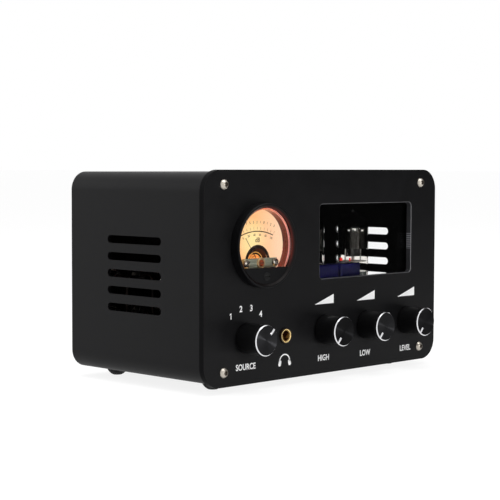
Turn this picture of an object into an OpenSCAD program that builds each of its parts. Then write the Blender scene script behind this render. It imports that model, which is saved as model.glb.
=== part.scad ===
// Tube preamplifier: extruded case, thick front panel with a round level meter,
// a window onto two miniature tubes, four knobs and a headphone jack.
// Units are millimetres. The front faces -Y and the case stands on +Z.

/* [Case] */
// Width of the front panel
panel_w = 200; // [198:1:206]
// Height of the front panel
panel_h = 117.5; // [116:0.5:122]
// Thickness of the front panel
panel_t = 3.5; // [3:0.1:4]
// Corner radius of the front panel
panel_corner_r = 12; // [9:0.5:14]
// How far the front panel stands out round the case
panel_overhang = 1.5; // [1:0.1:2]
// Depth from the panel's face to the back of the case
case_depth = 113; // [110:1:120]
// Wall of the extruded case
case_wall = 2; // [1.6:0.1:2.2]
// Thickness of the rear panel
rear_t = 2.5; // [2:0.1:3]
// Height of each foot
foot_h = 5; // [4:0.5:8]
// Radius of each foot where it meets the case
foot_r = 6.4; // [5.5:0.1:7.5]
// Foot centre, measured in from the panel's side edge
foot_inset_x = 24; // [20:0.5:28]
// Foot centre, measured in from each end of the case
foot_inset_y = 14.3; // [12:0.5:17]

/* [Panel screws] */
// Screw centre, measured in from the panel's side edge
screw_inset_x = 15; // [14:0.5:16]
// Screw centre, measured in from the panel's top or bottom edge
screw_inset_z = 8; // [7.5:0.1:8.5]
// Diameter of the screw thread
screw_d = 3; // [2.5:0.1:3.2]
// Diameter of the round screw head
screw_head_d = 5.7; // [5.2:0.1:6.2]
// Height of the round screw head
screw_head_h = 1.65; // [1.4:0.05:1.9]
// Length of the screw under its head
screw_len = 12; // [10:1:16]

/* [Vents] */
// Number of slots in each side
slot_count = 5; // [3:1:6]
// Length of each slot
slot_len = 45; // [36:1:52]
// Height of each slot
slot_h = 4.5; // [3.5:0.1:5.5]
// Spacing of the slots
slot_pitch = 9.6; // [8.5:0.1:10.5]
// Middle of the slots, measured back from the panel's face
slot_y = 58; // [52:1:62]

/* [Window] */
// Width of the window
window_w = 84; // [80:0.5:88]
// Height of the window
window_h = 43; // [40:0.5:45]
// Corner radius of the window
window_corner_r = 2.5; // [1.5:0.1:4]
// Window centre, right of the panel's centre
window_x = 34; // [32:0.5:36]
// Window centre above the panel's bottom edge
window_z = 76.2; // [75:0.1:78]
// Thickness of the clear pane
pane_t = 2; // [1.5:0.1:2.5]
// Thickness of the sealing strip behind the panel
gasket_t = 0.5; // [0.3:0.1:0.8]
// How far the pane reaches past the window
pane_lap = 4; // [3:0.5:5]

/* [Meter] */
// Meter centre, left of the panel's centre
meter_x = 56.7; // [55:0.1:59]
// Meter centre above the panel's bottom edge
meter_z = 75.9; // [74:0.1:78]
// Diameter of the meter's rim
meter_rim_d = 46.6; // [46:0.1:48]
// Diameter of the opening in the rim
meter_open_d = 41.2; // [40:0.1:41.4]
// How far the rim stands out of the panel
meter_rim_h = 6.1; // [5.8:0.1:6.8]
// Depth of the meter's case behind the panel's face
meter_depth = 26; // [24:0.5:30]
// Depth of the printed dial behind the panel's face
dial_y = 3.1; // [2.9:0.1:3.5]
// Needle pivot below the meter's centre
pivot_drop = 9; // [8:0.1:10]
// Straight top edge of the chin below the meter's centre
chin_drop = 12.1; // [12:0.1:13.5]
// Length of the needle from its pivot
needle_len = 18.4; // [16:0.1:20]
// Resting angle of the needle, left of upright
needle_rest = 36; // [32:1:42]
// Zero screw below the meter's centre
zero_drop = 16.9; // [16.4:0.1:17.2]

/* [Controls] */
// Height of the knob axes above the panel's bottom edge
control_z = 25.5; // [25.5:0.1:26.5]
// Input selector, left of the panel's centre
input_x = 68.1; // [66:0.1:68.5]
// Treble control, left of the panel's centre
treble_x = 4.2; // [3:0.1:6]
// Bass control, right of the panel's centre
bass_x = 33.1; // [31:0.1:35]
// Volume control, right of the panel's centre
volume_x = 71.2; // [69:0.1:71.5]
// Diameter of the knobs
knob_d = 17; // [15.5:0.1:20]
// Length of the knobs
knob_len = 15; // [13:0.5:18]
// Gap between the panel and the knobs
knob_gap = 1; // [0.6:0.1:1.6]
// Width of the bright cut round each knob's face
knob_cut = 0.6; // [0.4:0.05:1]
// Length of each knob's pointer line
pointer_len = 3.3; // [2:0.1:5]
// Width of each knob's pointer line
pointer_w = 1; // [0.6:0.1:1.4]
// Diameter of the control shafts
shaft_d = 6; // [5.6:0.1:6.2]
// Diameter of the threaded bushings
bushing_d = 7; // [6.8:0.1:7.6]
// Diameter of the control bodies
pot_d = 16.5; // [15:0.1:17]
// Length of the control bodies
pot_len = 9; // [8:0.5:11]
// Diameter of the selector switch body
switch_d = 23.8; // [20:0.1:24]
// Length of the selector switch body
switch_len = 14; // [12:0.5:17]
// Pointer angle of the input knob, clockwise from upright
input_pointer = 45; // [-45:30:45]
// Pointer angle of the other knobs, clockwise from upright
pot_pointer = -140; // [-150:1:-130]

/* [Headphone jack] */
// Headphone jack, left of the panel's centre
jack_x = 36.9; // [36:0.1:38]
// Height of the jack above the panel's bottom edge
jack_z = 24.4; // [24:0.1:25.5]
// Outer diameter of the gold collar
jack_d = 8.6; // [8.2:0.1:9]
// Bore of the jack
jack_bore_d = 6.4; // [6.35:0.05:6.5]
// How far the collar stands out of the panel
jack_out = 1.2; // [0.6:0.1:2]
// Length of the jack body
jack_len = 26; // [24:1:32]

/* [Tubes] */
// Spacing of the two tubes
tube_pitch = 41; // [38:0.5:43]
// Tube centres, measured back from the panel's face
tube_y = 29; // [28.5:0.5:31]
// Diameter of the glass
tube_d = 19; // [18:0.1:19.6]
// Height of the glass over its seat, without the tip
tube_h = 39; // [37:0.5:41]
// Wall of the glass
glass_wall = 0.9; // [0.7:0.05:1.1]
// Height of the tube sockets
socket_h = 8; // [7:0.5:9]

/* [Boards] */
// Thickness of both circuit boards
board_t = 1.6; // [1.2:0.1:2]
// Top face of the main board above the panel's bottom edge
main_board_z = 13; // [12.9:0.1:13.1]
// Top face of the tube board above the panel's bottom edge
tube_board_z = 44; // [41:0.5:46]
// Width of the main board
main_board_w = 160; // [158:1:161]
// Width of the tube board
tube_board_w = 80; // [79:1:84]
// Height of the film capacitors
film_h = 18; // [15:0.5:20]
// Width of each film capacitor
film_w = 18; // [16:0.5:18.5]
// Thickness of each film capacitor
film_t = 9; // [7:0.5:9.5]
// Height of the large electrolytic capacitors
can_h = 34; // [26:1:44]
// Diameter of the large electrolytic capacitors
can_d = 18; // [14:0.5:20]

/* [Rear connectors] */
// Spacing of the input jack pairs
rca_pitch = 20; // [18:0.5:21]
// First input pair, left of the panel's centre
rca_x = 72; // [70:0.5:74]
// Output pair, right of the panel's centre
rca_out_x = 14; // [12:0.5:16]
// Lower row of jacks above the panel's bottom edge
rca_row_z = 32; // [30:0.5:36]
// Spacing of the two rows
rca_row_pitch = 22; // [20:0.5:26]
// Outer diameter of the jack sleeves
rca_d = 8.3; // [8.2:0.05:8.4]
// Length of the jack sleeves
rca_len = 7; // [6.5:0.1:8]
// Power inlet, right of the panel's centre
inlet_x = 44; // [42:0.5:46]
// Power switch, right of the panel's centre
power_x = 72; // [69:0.5:74]
// Height of the power inlet and switch above the panel's bottom edge
power_z = 43; // [41:0.5:46]
// Width of the switch bezel
power_w = 15; // [14.5:0.1:16]
// Height of the switch bezel
power_h = 21; // [20.5:0.1:22]
// Tilt of the rocker from level
rocker_tilt = 9; // [6:0.5:10]

/* [Clearances] */
// Radial clearance of the turning shafts
run_clear = 0.05; // [0.03:0.01:0.08]
// Radial clearance of parts that are pushed or screwed together
fit_clear = 0.05; // [0.03:0.01:0.08]
// Radial clearance of holes that parts pass through
hole_clear = 0.2; // [0.15:0.01:0.25]

/* [Hidden] */
$fn = 96;
eps = 0.01;

// Case
body_w = panel_w - 2 * panel_overhang;
body_h = panel_h - 2 * panel_overhang;
body_r = panel_corner_r - panel_overhang;
body_end = case_depth - rear_t;
floor_z = panel_overhang + case_wall;
screw_x = panel_w / 2 - screw_inset_x;
screw_r = screw_d / 2;
screw_z = [screw_inset_z, panel_h - screw_inset_z];
channel_r = screw_r + 1.7;
foot_flat_r = 0.4 * foot_r;
foot_x = panel_w / 2 - foot_inset_x;
foot_y = [panel_t + foot_inset_y, case_depth - foot_inset_y];
hex_key = 2;

// Shared frame
knob_front = knob_gap + knob_len;
ring_t = 1.2;
flange_t = 1.3;
rear_out = case_depth + ring_t + flange_t + rca_len;
mid_y = (rear_out - knob_front) / 2;
lift_z = foot_h - panel_overhang;

// Window
pane_y = panel_t + gasket_t;
pane_w = window_w + 2 * pane_lap;
pane_h = window_h + 2 * pane_lap;

// Meter
rim_r = meter_rim_d / 2;
open_r = meter_open_d / 2;
lip_t = 2.2;
lip_bevel = 1.7;
chin_set = 1.2;
lens_t = 1.5;
flange_h = 1.2;
rabbet_r = open_r + 0.8;
skirt_r = open_r;
skirt_wall = 0.7;
cup_r = open_r + hole_clear;
barrel_r = cup_r + 1;
dial_t = 0.5;
ledge_r = cup_r - 1.8;
dial_r = cup_r - 0.3;
dial_cut_r = 8;
post_x = 11.3;
post_r = 1.5;
bar_y0 = dial_y - 2.5;
bar_t = 1.2;
bar_h = 5.1;
bar_low = 0.7;
magnet_y0 = dial_y + 2.9;
magnet_len = meter_depth - 15;
base_y0 = magnet_y0 + magnet_len;
base_t = 3;
jewel_r = 0.6;
pin_r = jewel_r - 0.1;
zero_r = 2.1;
lamp_r = 1.5;
lamp_x = 9.5;
lamp_drop = 15;
clamp_t = 4;
clamp_r = barrel_r + 3.7;

// Controls
shaft_r = shaft_d / 2;
bushing_r = bushing_d / 2;
bushing_out = 4;
nut_t = 2;
washer_t = 0.5;
nut_r = (bushing_d + 3) / 2 / cos(30);
washer_r = bushing_r + 2.25;
recess_r = washer_r + 0.85;
recess_len = 4.8;
shaft_out = knob_front - 3;
flat_off = shaft_r / 2;
can_wall = 1.1;
rotor_t = 2;
leg_w = 0.8;
leg_hole_r = 0.8;
leg_pitch = 5;
leg_y = panel_t + 5.5;
leg_low = main_board_z - board_t - 1.5;
switch_legs = [-2, -1, 0, 1, 2];
pot_legs = [-1, 0, 1];

// Headphone jack
jack_r = jack_d / 2;
jack_bore_r = jack_bore_d / 2;
jack_y0 = panel_t + 0.5;
jack_w = 16;
jack_top = 8;
jack_cavity = 0.9;
jack_seat = 5;

// Tubes
tube_r = tube_d / 2;
tube_x = [window_x - tube_pitch / 2, window_x + tube_pitch / 2];
seat_z = tube_board_z + socket_h;
bulb_r = tube_r - glass_wall;
stem_h = 3;
tube_pin_r = 0.5;
tube_pin_ring = 4.76;
tube_pin_len = socket_h - 1.5;
mica_r = bulb_r - 0.4;
mica_t = 0.4;
mica_low = 9;
mica_high = tube_h - tube_r - 2.5;
plate_w = 9.6;
plate_d = 7;
plate_wall = 0.5;
wing_w = 12.6;
rod_x = 7.2;
rod_r = 0.4;
cathode_r = 0.9;
getter_r = 3.4;
getter_z = mica_high + 4.2;

// Boards
board_front_gap = 4.5;
board_rear_gap = 9;
board_gap = 1;
tube_board_back = 33;
main_y0 = panel_t + board_front_gap;
main_y1 = case_depth - board_rear_gap;
tube_y0 = panel_t + gasket_t + pane_t + board_gap;
tube_y1 = tube_y + tube_board_back;
main_under = main_board_z - board_t;
tube_under = tube_board_z - board_t;
post_inset_x = 34;
post_front_y = 27;
post_rear_inset = 6;
main_post_x = panel_w / 2 - post_inset_x;
tube_post_inset = 4;
tube_post_front = 9;
tube_post_rear = 6;
tube_post_x = tube_board_w / 2 - tube_post_inset;
tube_post_y = [tube_y - tube_post_front, tube_y1 - tube_post_rear];
post_hex_r = 5.5 / 2 / cos(30);
board_screw_r = 1.5;
board_head_r = 2.75;
board_head_h = 2;
film_gap = 1.5;
film_side = 3.8;
film_y = tube_y0 + film_gap;
film_x = window_x + film_side;
can_pitch = 26;
can_y = tube_y1 + board_gap + can_d / 2;
tube_can_d = 8;
tube_can_h = 12;
tube_can_pitch = 16;
tube_can_back = 21;
tube_can_y = tube_y + tube_can_back;
small_can_d = 10;
small_can_h = 17;
small_can_pitch = 15;
row_gap = 2;
chip_w = 9.6;
chip_d = 6.4;
chip_h = 3.6;
chip_pitch = 22;
relay_w = 16;
relay_d = 12;
relay_h = 10;
row_x = window_x - tube_board_w / 2 - board_gap - 3 * small_can_pitch - small_can_d;
chip_row_y = meter_depth + 16;
small_can_y = chip_row_y + chip_d + row_gap + small_can_d / 2;
relay_row_y = small_can_y + small_can_d / 2 + row_gap;
header_pitch = 2.54;
header_d = 2.5;
header_h = 8.5;
header_cap_h = 2.5;
header_pin = 0.64;
header_y = tube_y1 - 3;

// Rear connectors
rca_r = rca_d / 2;
rca_cols = [for (i = [0 : 3]) -rca_x + i * rca_pitch, rca_out_x];
rca_rows = [rca_row_z, rca_row_z + rca_row_pitch];
tail_r = 3;
tail_in = case_depth - 10;
core_r = 3.2;
core_hole_r = 1.65;
rca_flange_r = 5.4;
rca_ring_r = 6.2;
core_short = 0.8;
core_floor = 0.5;
rca_nut_t = 2.6;
rca_nut_r = 4.2 / cos(30);
inlet_r = 5.5;
inlet_hole_r = 2.75;
inlet_flange_t = 2;
inlet_lip = 1.8;
inlet_pin_r = 1.05;
inlet_depth = 9;
inlet_seat = 2;
inlet_nut_t = 3;
inlet_nut_r = 7.2 / cos(30);
inlet_in = case_depth - 15;
power_in = case_depth - 16;
power_wall = 1;
power_bezel_t = 2;
power_floor = 2;
power_body_w = power_w - 2.2;
power_body_h = power_h - 2.2;
rocker_w = power_body_w - 2 * power_wall - 0.6;
rocker_half = power_body_h / 2 - power_wall - 0.8;
rocker_y = case_depth - 1;
rocker_pin_r = 1;
wire_r = 0.8;
bend_r = 4;
lead_inset = 6;
lead_pitch = 3.5;
lead_row = [main_y1 - lead_inset, main_y1 - lead_inset - lead_pitch];
power_lead_y = main_y1 - lead_inset - 2 * lead_pitch;
lead_side = 3;
rear_post_x = [-rca_x + 2.5 * rca_pitch, (rca_out_x + inlet_x) / 2];

// Helpers

// Moves a piece from the panel's own frame to the shared frame.
module placed() {
    translate([0, -mid_y, lift_z]) children();
}

// Extrudes an outline in X and Z from y0 back to y1.
module along_y(y0, y1) {
    translate([0, y1, 0]) rotate([90, 0, 0]) linear_extrude(height = y1 - y0) children();
}

// Round bar along Y from y0 back to y1.
module bar_y(r, y0, y1) {
    translate([0, y1, 0]) rotate([90, 0, 0]) cylinder(r = r, h = y1 - y0);
}

// Turned piece about Y: the profile holds radius and distance out to the front.
module turned(profile) {
    rotate([90, 0, 0]) rotate_extrude() polygon(profile);
}

module rounded(w, h, r) {
    square([w - 2 * r, h], center = true);
    square([w, h - 2 * r], center = true);
    for (sx = [-1, 1], sz = [-1, 1]) {
        translate([sx * (w / 2 - r), sz * (h / 2 - r)]) circle(r = r);
    }
}

module body_outline(inset) {
    translate([0, panel_h / 2]) rounded(body_w - 2 * inset, body_h - 2 * inset, body_r - inset);
}

module at_panel_screws() {
    for (sx = [-1, 1], z = screw_z) {
        translate([sx * screw_x, z]) children();
    }
}

// Case

module front_panel() {
    color([0.05, 0.05, 0.055]) placed() along_y(0, panel_t) difference() {
        translate([0, panel_h / 2]) rounded(panel_w, panel_h, panel_corner_r);
        at_panel_screws() circle(r = screw_r + hole_clear);
        translate([window_x, window_z]) rounded(window_w, window_h, window_corner_r);
        translate([-meter_x, meter_z]) circle(r = barrel_r + hole_clear);
        for (x = [-input_x, -treble_x, bass_x, volume_x]) {
            translate([x, control_z]) circle(r = bushing_r + hole_clear);
        }
        translate([-jack_x, jack_z]) circle(r = jack_r + hole_clear);
    }
}

module slot_outline() {
    square([slot_h, slot_len - slot_h], center = true);
    for (s = [-1, 1]) {
        translate([0, s * (slot_len - slot_h) / 2]) circle(r = slot_h / 2);
    }
}

module case_shell() {
    color([0.07, 0.07, 0.075]) placed() difference() {
        along_y(panel_t, body_end) {
            difference() {
                body_outline(0);
                body_outline(case_wall);
            }
            difference() {
                union() {
                    at_panel_screws() circle(r = channel_r);
                    for (sx = [-1, 1]) {
                        translate([sx * screw_x - channel_r / 2, panel_overhang + case_wall / 2])
                            square([channel_r, screw_inset_z - panel_overhang - case_wall / 2]);
                        translate([sx * screw_x - channel_r / 2, panel_h - screw_inset_z])
                            square([channel_r, screw_inset_z - panel_overhang - case_wall / 2]);
                    }
                }
                at_panel_screws() circle(r = screw_r + fit_clear);
            }
        }
        for (i = [0 : slot_count - 1]) {
            translate([0, slot_y, panel_h / 2 + (i - (slot_count - 1) / 2) * slot_pitch])
                rotate([0, 90, 0]) linear_extrude(height = body_w + 2, center = true) slot_outline();
        }
        at_main_posts() cylinder(r = board_screw_r + hole_clear, h = floor_z + 1);
    }
}

module rear_panel() {
    color([0.06, 0.06, 0.065]) placed() along_y(body_end, case_depth) difference() {
        body_outline(0);
        at_panel_screws() circle(r = screw_r + hole_clear);
        for (x = rca_cols, z = rca_rows) {
            translate([x, z]) circle(r = tail_r + hole_clear);
        }
        translate([inlet_x, power_z]) circle(r = inlet_r + hole_clear);
        translate([power_x, power_z])
            square([power_body_w + 2 * hole_clear, power_body_h + 2 * hole_clear], center = true);
    }
}

// Round-headed screw with a hexagon socket, its head towards -Y and its seat at Y = 0.
module button_screw() {
    dome_r = (pow(screw_head_d / 2, 2) + pow(screw_head_h, 2)) / (2 * screw_head_h);
    difference() {
        union() {
            intersection() {
                translate([0, dome_r - screw_head_h, 0]) sphere(r = dome_r);
                bar_y(screw_head_d, -2 * screw_head_h, 0);
            }
            bar_y(screw_r, -screw_head_h / 3, screw_len);
        }
        along_y(-2 * screw_head_h, -screw_head_h + 1.05) circle(r = hex_key / 2 / cos(30), $fn = 6);
    }
}

module front_screws() {
    color([0.72, 0.7, 0.66]) placed() for (sx = [-1, 1], z = screw_z) {
        translate([sx * screw_x, 0, z]) button_screw();
    }
}

module rear_screws() {
    color([0.72, 0.7, 0.66]) placed() for (sx = [-1, 1], z = screw_z) {
        translate([sx * screw_x, case_depth, z]) rotate([0, 0, 180]) button_screw();
    }
}

// Domed rubber foot, its top at Z = 0.
module foot() {
    dome_r = (foot_r * foot_r - foot_flat_r * foot_flat_r + foot_h * foot_h) / (2 * foot_h);
    drop = dome_r - foot_h;
    ball_r = sqrt(foot_r * foot_r + drop * drop);
    intersection() {
        translate([0, 0, drop]) sphere(r = ball_r);
        translate([0, 0, -foot_h]) cylinder(r = foot_r, h = foot_h);
    }
}

module feet() {
    color([0.03, 0.03, 0.03]) placed() for (sx = [-1, 1], y = foot_y) {
        translate([sx * foot_x, y, panel_overhang]) foot();
    }
}

// Window

module window_pane() {
    color([0.8, 0.85, 0.85]) placed() along_y(pane_y, pane_y + pane_t)
        translate([window_x, window_z]) rounded(pane_w, pane_h, window_corner_r);
}

module window_gasket() {
    color([0.03, 0.03, 0.03]) placed() along_y(panel_t, pane_y) translate([window_x, window_z]) difference() {
        rounded(pane_w, pane_h, window_corner_r);
        rounded(window_w + 1, window_h + 1, window_corner_r);
    }
}

// Meter

module at_meter() {
    placed() translate([-meter_x, 0, meter_z]) children();
}

module meter_rim() {
    edge = 0.5;
    color([0.02, 0.02, 0.02]) at_meter() {
        turned([
            [rabbet_r + fit_clear, flange_h],
            [rim_r, flange_h],
            [rim_r, meter_rim_h - edge],
            [rim_r - edge, meter_rim_h],
            [open_r + lip_bevel, meter_rim_h],
            [open_r, meter_rim_h - lip_bevel],
            [open_r, meter_rim_h - lip_t],
            [rabbet_r + fit_clear, meter_rim_h - lip_t]
        ]);
        along_y(-meter_rim_h + chin_set, -meter_rim_h + lip_t) difference() {
            intersection() {
                circle(r = rabbet_r);
                translate([-rim_r, -rim_r]) square([2 * rim_r, rim_r - chin_drop]);
            }
            translate([0, -zero_drop]) circle(r = zero_r + hole_clear);
        }
    }
}

module meter_case() {
    color([0.03, 0.03, 0.03]) at_meter() difference() {
        union() {
            bar_y(rim_r - 0.1, -flange_h, 0);
            bar_y(barrel_r, -flange_h / 2, meter_depth);
        }
        bar_y(cup_r, -flange_h - 1, dial_y + dial_t);
        bar_y(ledge_r, dial_y, meter_depth - 2);
    }
}

module meter_lens() {
    color([0.85, 0.88, 0.85]) at_meter() difference() {
        union() {
            bar_y(rabbet_r, -meter_rim_h + lip_t, -meter_rim_h + lip_t + lens_t);
            bar_y(skirt_r, -meter_rim_h + lip_t + lens_t / 2, dial_y - 0.2);
        }
        bar_y(skirt_r - skirt_wall, -meter_rim_h + lip_t + lens_t, dial_y);
        translate([0, 0, -zero_drop]) bar_y(zero_r - 0.8, -meter_rim_h - 1, 0);
    }
}

module meter_dial() {
    color([0.9, 0.7, 0.45]) at_meter() along_y(dial_y, dial_y + dial_t) difference() {
        circle(r = dial_r);
        translate([0, -pivot_drop]) circle(r = dial_cut_r);
        for (s = [-1, 1]) {
            translate([s * post_x, -pivot_drop]) circle(r = post_r + hole_clear);
        }
    }
}

module meter_magnet() {
    color([0.35, 0.33, 0.3]) at_meter() translate([0, 0, -pivot_drop]) difference() {
        union() {
            bar_y(dial_cut_r + 1.5, magnet_y0, base_y0 + base_t / 2);
            along_y(base_y0, base_y0 + base_t) square([2 * post_x + 3.4, 7], center = true);
            bar_y(4, base_y0 + base_t / 2, meter_depth - 2);
        }
        bar_y(dial_cut_r - 1.5, magnet_y0 - 1, base_y0);
        bar_y(jewel_r, base_y0 - 1, base_y0 + 1.4);
    }
}

module meter_bridge() {
    color([0.45, 0.48, 0.42]) at_meter() translate([0, 0, -pivot_drop]) difference() {
        union() {
            along_y(bar_y0, bar_y0 + bar_t)
                translate([0, -bar_low]) square([2 * post_x + 2.8, bar_h], center = true);
            for (s = [-1, 1]) {
                translate([s * post_x, 0, 0]) bar_y(post_r, bar_y0 + bar_t / 2, base_y0);
            }
        }
        bar_y(jewel_r, bar_y0 + 0.3, bar_y0 + bar_t + 1);
    }
}

module meter_needle() {
    needle_y0 = bar_y0 + bar_t + 0.4;
    coil_y0 = magnet_y0 + 0.5;
    coil_y1 = base_y0 - 1.5;
    color([0.08, 0.06, 0.05]) at_meter() translate([0, 0, -pivot_drop]) rotate([0, -needle_rest, 0]) {
        bar_y(1.2, needle_y0 - 0.2, base_y0 - 0.5);
        bar_y(pin_r, bar_y0 + 0.4, needle_y0);
        bar_y(pin_r, base_y0 - 1, base_y0 + 1.2);
        translate([-0.25, needle_y0, -4]) cube([0.5, 0.4, needle_len + 4]);
        difference() {
            translate([-5.4, coil_y0, -1.2]) cube([10.8, coil_y1 - coil_y0, 2.4]);
            translate([-4.3, coil_y0 + 1.1, -2]) cube([8.6, coil_y1 - coil_y0 - 2.2, 4]);
        }
    }
}

module meter_zero_screw() {
    face = meter_rim_h - lip_t;
    color([0.05, 0.05, 0.05]) at_meter() translate([0, 0, -zero_drop]) difference() {
        union() {
            bar_y(zero_r, -face - 1.2, -face - 0.1);
            bar_y(zero_r - 0.9, -face - 0.5, -0.5);
            translate([0, 0, 0.6]) bar_y(0.4, -1, 1.5);
        }
        translate([-zero_r - 1, -face - 2, -0.35]) cube([2 * zero_r + 2, 1.4, 0.7]);
    }
}

module meter_lamps() {
    color([1, 0.75, 0.4]) at_meter() for (s = [-1, 1]) {
        translate([s * lamp_x, 0, -lamp_drop]) {
            bar_y(lamp_r, 0, dial_y);
            sphere(r = lamp_r);
        }
    }
}

module meter_clamp_ring() {
    color([0.3, 0.3, 0.3]) at_meter() difference() {
        bar_y(clamp_r, panel_t, panel_t + clamp_t);
        bar_y(barrel_r + fit_clear, panel_t - 1, panel_t + clamp_t + 1);
    }
}

// Controls

// Control body with its threaded bushing, its front face on the back of the panel.
module control_body(d, len, legs) {
    y1 = panel_t + len;
    pad_w = (max(legs) - min(legs)) * leg_pitch + 4;
    pad_low = d / 2 + 0.2;
    difference() {
        union() {
            bar_y(d / 2, panel_t, y1);
            bar_y(bushing_r, -bushing_out, panel_t + 1);
            translate([-pad_w / 2, panel_t + 3, -pad_low]) cube([pad_w, 5, d / 4]);
        }
        bar_y(shaft_r + run_clear, -bushing_out - 1, panel_t + 2);
        bar_y(d / 2 - can_wall, panel_t + 1.5, y1 - 1.2);
    }
    for (i = legs) {
        translate([i * leg_pitch - leg_w / 2, leg_y - leg_w / 2, leg_low - control_z])
            cube([leg_w, leg_w, control_z - leg_low - pad_low + 0.5]);
    }
}

// Shaft with its rotor; the flat is at the top before it is turned.
module control_shaft(angle, d) {
    rotate([0, angle, 0]) difference() {
        union() {
            bar_y(shaft_r, -shaft_out, panel_t + 6);
            bar_y(d / 2 - can_wall - 0.6, panel_t + 2.4, panel_t + 2.4 + rotor_t);
        }
        translate([-shaft_r - 1, -shaft_out - 1, flat_off])
            cube([2 * shaft_r + 2, shaft_out - bushing_out, shaft_r]);
    }
}

// Knob with a bright cut round its face and a pointer line, pointing up before it is turned.
module control_knob(angle) {
    knob_r = knob_d / 2;
    bore_end = shaft_out + 0.4;
    rotate([0, angle, 0]) difference() {
        turned([
            [0, knob_gap],
            [knob_r - 0.4, knob_gap],
            [knob_r, knob_gap + 0.4],
            [knob_r, knob_front - knob_cut - 1.5],
            [knob_r - 0.3, knob_front - knob_cut - 1.3],
            [knob_r - 0.3, knob_front - knob_cut - 1],
            [knob_r, knob_front - knob_cut - 0.8],
            [knob_r, knob_front - knob_cut],
            [knob_r - knob_cut, knob_front],
            [0, knob_front]
        ]);
        bar_y(recess_r, -knob_gap - recess_len, 0);
        difference() {
            bar_y(shaft_r + fit_clear, -bore_end, -knob_gap);
            translate([-knob_r, -bore_end - 1, flat_off + fit_clear])
                cube([knob_d, bore_end - knob_gap - recess_len + 1, knob_r]);
        }
        translate([-pointer_w / 2, -knob_front - 1, knob_r - pointer_len])
            cube([pointer_w, 1.35, pointer_len + 1]);
    }
}

module input_switch() {
    color([0.25, 0.25, 0.27]) placed() translate([-input_x, 0, control_z])
        control_body(switch_d, switch_len, switch_legs);
}

module input_shaft() {
    color([0.7, 0.7, 0.72]) placed() translate([-input_x, 0, control_z])
        control_shaft(input_pointer, switch_d);
}

module input_knob() {
    color([0.04, 0.04, 0.045]) placed() translate([-input_x, 0, control_z]) control_knob(input_pointer);
}

module treble_pot() {
    color([0.25, 0.25, 0.27]) placed() translate([-treble_x, 0, control_z])
        control_body(pot_d, pot_len, pot_legs);
}

module treble_shaft() {
    color([0.7, 0.7, 0.72]) placed() translate([-treble_x, 0, control_z]) control_shaft(pot_pointer, pot_d);
}

module treble_knob() {
    color([0.04, 0.04, 0.045]) placed() translate([-treble_x, 0, control_z]) control_knob(pot_pointer);
}

module bass_pot() {
    color([0.25, 0.25, 0.27]) placed() translate([bass_x, 0, control_z])
        control_body(pot_d, pot_len, pot_legs);
}

module bass_shaft() {
    color([0.7, 0.7, 0.72]) placed() translate([bass_x, 0, control_z]) control_shaft(pot_pointer, pot_d);
}

module bass_knob() {
    color([0.04, 0.04, 0.045]) placed() translate([bass_x, 0, control_z]) control_knob(pot_pointer);
}

module volume_pot() {
    color([0.25, 0.25, 0.27]) placed() translate([volume_x, 0, control_z])
        control_body(pot_d, pot_len, pot_legs);
}

module volume_shaft() {
    color([0.7, 0.7, 0.72]) placed() translate([volume_x, 0, control_z]) control_shaft(pot_pointer, pot_d);
}

module volume_knob() {
    color([0.04, 0.04, 0.045]) placed() translate([volume_x, 0, control_z]) control_knob(pot_pointer);
}

module control_nuts() {
    color([0.7, 0.7, 0.68]) placed() for (x = [-input_x, -treble_x, bass_x, volume_x]) {
        translate([x, 0, control_z]) difference() {
            union() {
                bar_y(washer_r, -washer_t, 0);
                along_y(-washer_t - nut_t, -washer_t / 2) circle(r = nut_r, $fn = 6);
            }
            bar_y(bushing_r + fit_clear, -washer_t - nut_t - 1, 1);
        }
    }
}

// Headphone jack

module at_jack() {
    placed() translate([-jack_x, 0, jack_z]) children();
}

module jack_body() {
    low = jack_z - main_board_z;
    color([0.06, 0.06, 0.06]) at_jack() difference() {
        translate([-jack_w / 2, jack_y0, -low]) cube([jack_w, jack_len, low + jack_top]);
        bar_y(jack_r + fit_clear, jack_y0 - 1, jack_y0 + jack_seat);
        bar_y(jack_bore_r + jack_cavity, jack_y0, jack_y0 + jack_len - 3);
        for (s = [-1, 1]) {
            translate([-2, jack_y0 + 7, s * (jack_bore_r + 0.8) - 1.2]) cube([4, jack_len - 12, 2.4]);
        }
    }
}

module jack_bushing() {
    color([0.83, 0.62, 0.25]) at_jack() difference() {
        bar_y(jack_r, -jack_out, jack_y0 + jack_seat);
        bar_y(jack_bore_r, -jack_out - 1, jack_y0 + jack_seat + 1);
    }
}

module jack_contacts() {
    color([0.83, 0.62, 0.25]) at_jack() for (s = [-1, 1]) {
        translate([-1.5, jack_y0 + 7, s * (jack_bore_r + 1.3) - 0.2]) cube([3, jack_len - 12, 0.4]);
    }
}

// Tubes

module at_tube(i) {
    placed() translate([tube_x[i], tube_y, seat_z]) children();
}

module tube_glass() {
    dome_z = tube_h - tube_r;
    difference() {
        union() {
            cylinder(r = tube_r, h = dome_z);
            translate([0, 0, dome_z]) sphere(r = tube_r);
            translate([0, 0, tube_h - 0.5]) cylinder(r1 = 1.9, r2 = 0.5, h = 3);
        }
        translate([0, 0, -1]) cylinder(r = bulb_r, h = dome_z + 1);
        translate([0, 0, dome_z]) sphere(r = bulb_r);
        translate([0, 0, -tube_r - 1]) cylinder(r = tube_r + 1, h = tube_r + 1);
    }
}

module tube_stem() {
    difference() {
        cylinder(r = bulb_r - fit_clear, h = stem_h);
        for (k = [0 : 6]) {
            rotate([0, 0, 45 * k]) translate([tube_pin_ring, 0, -1]) cylinder(r = tube_pin_r / 2, h = 0.5);
        }
    }
    for (k = [0 : 6]) {
        rotate([0, 0, 45 * k]) translate([tube_pin_ring, 0, -tube_pin_len])
            cylinder(r = tube_pin_r, h = tube_pin_len + mica_low);
    }
}

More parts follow.
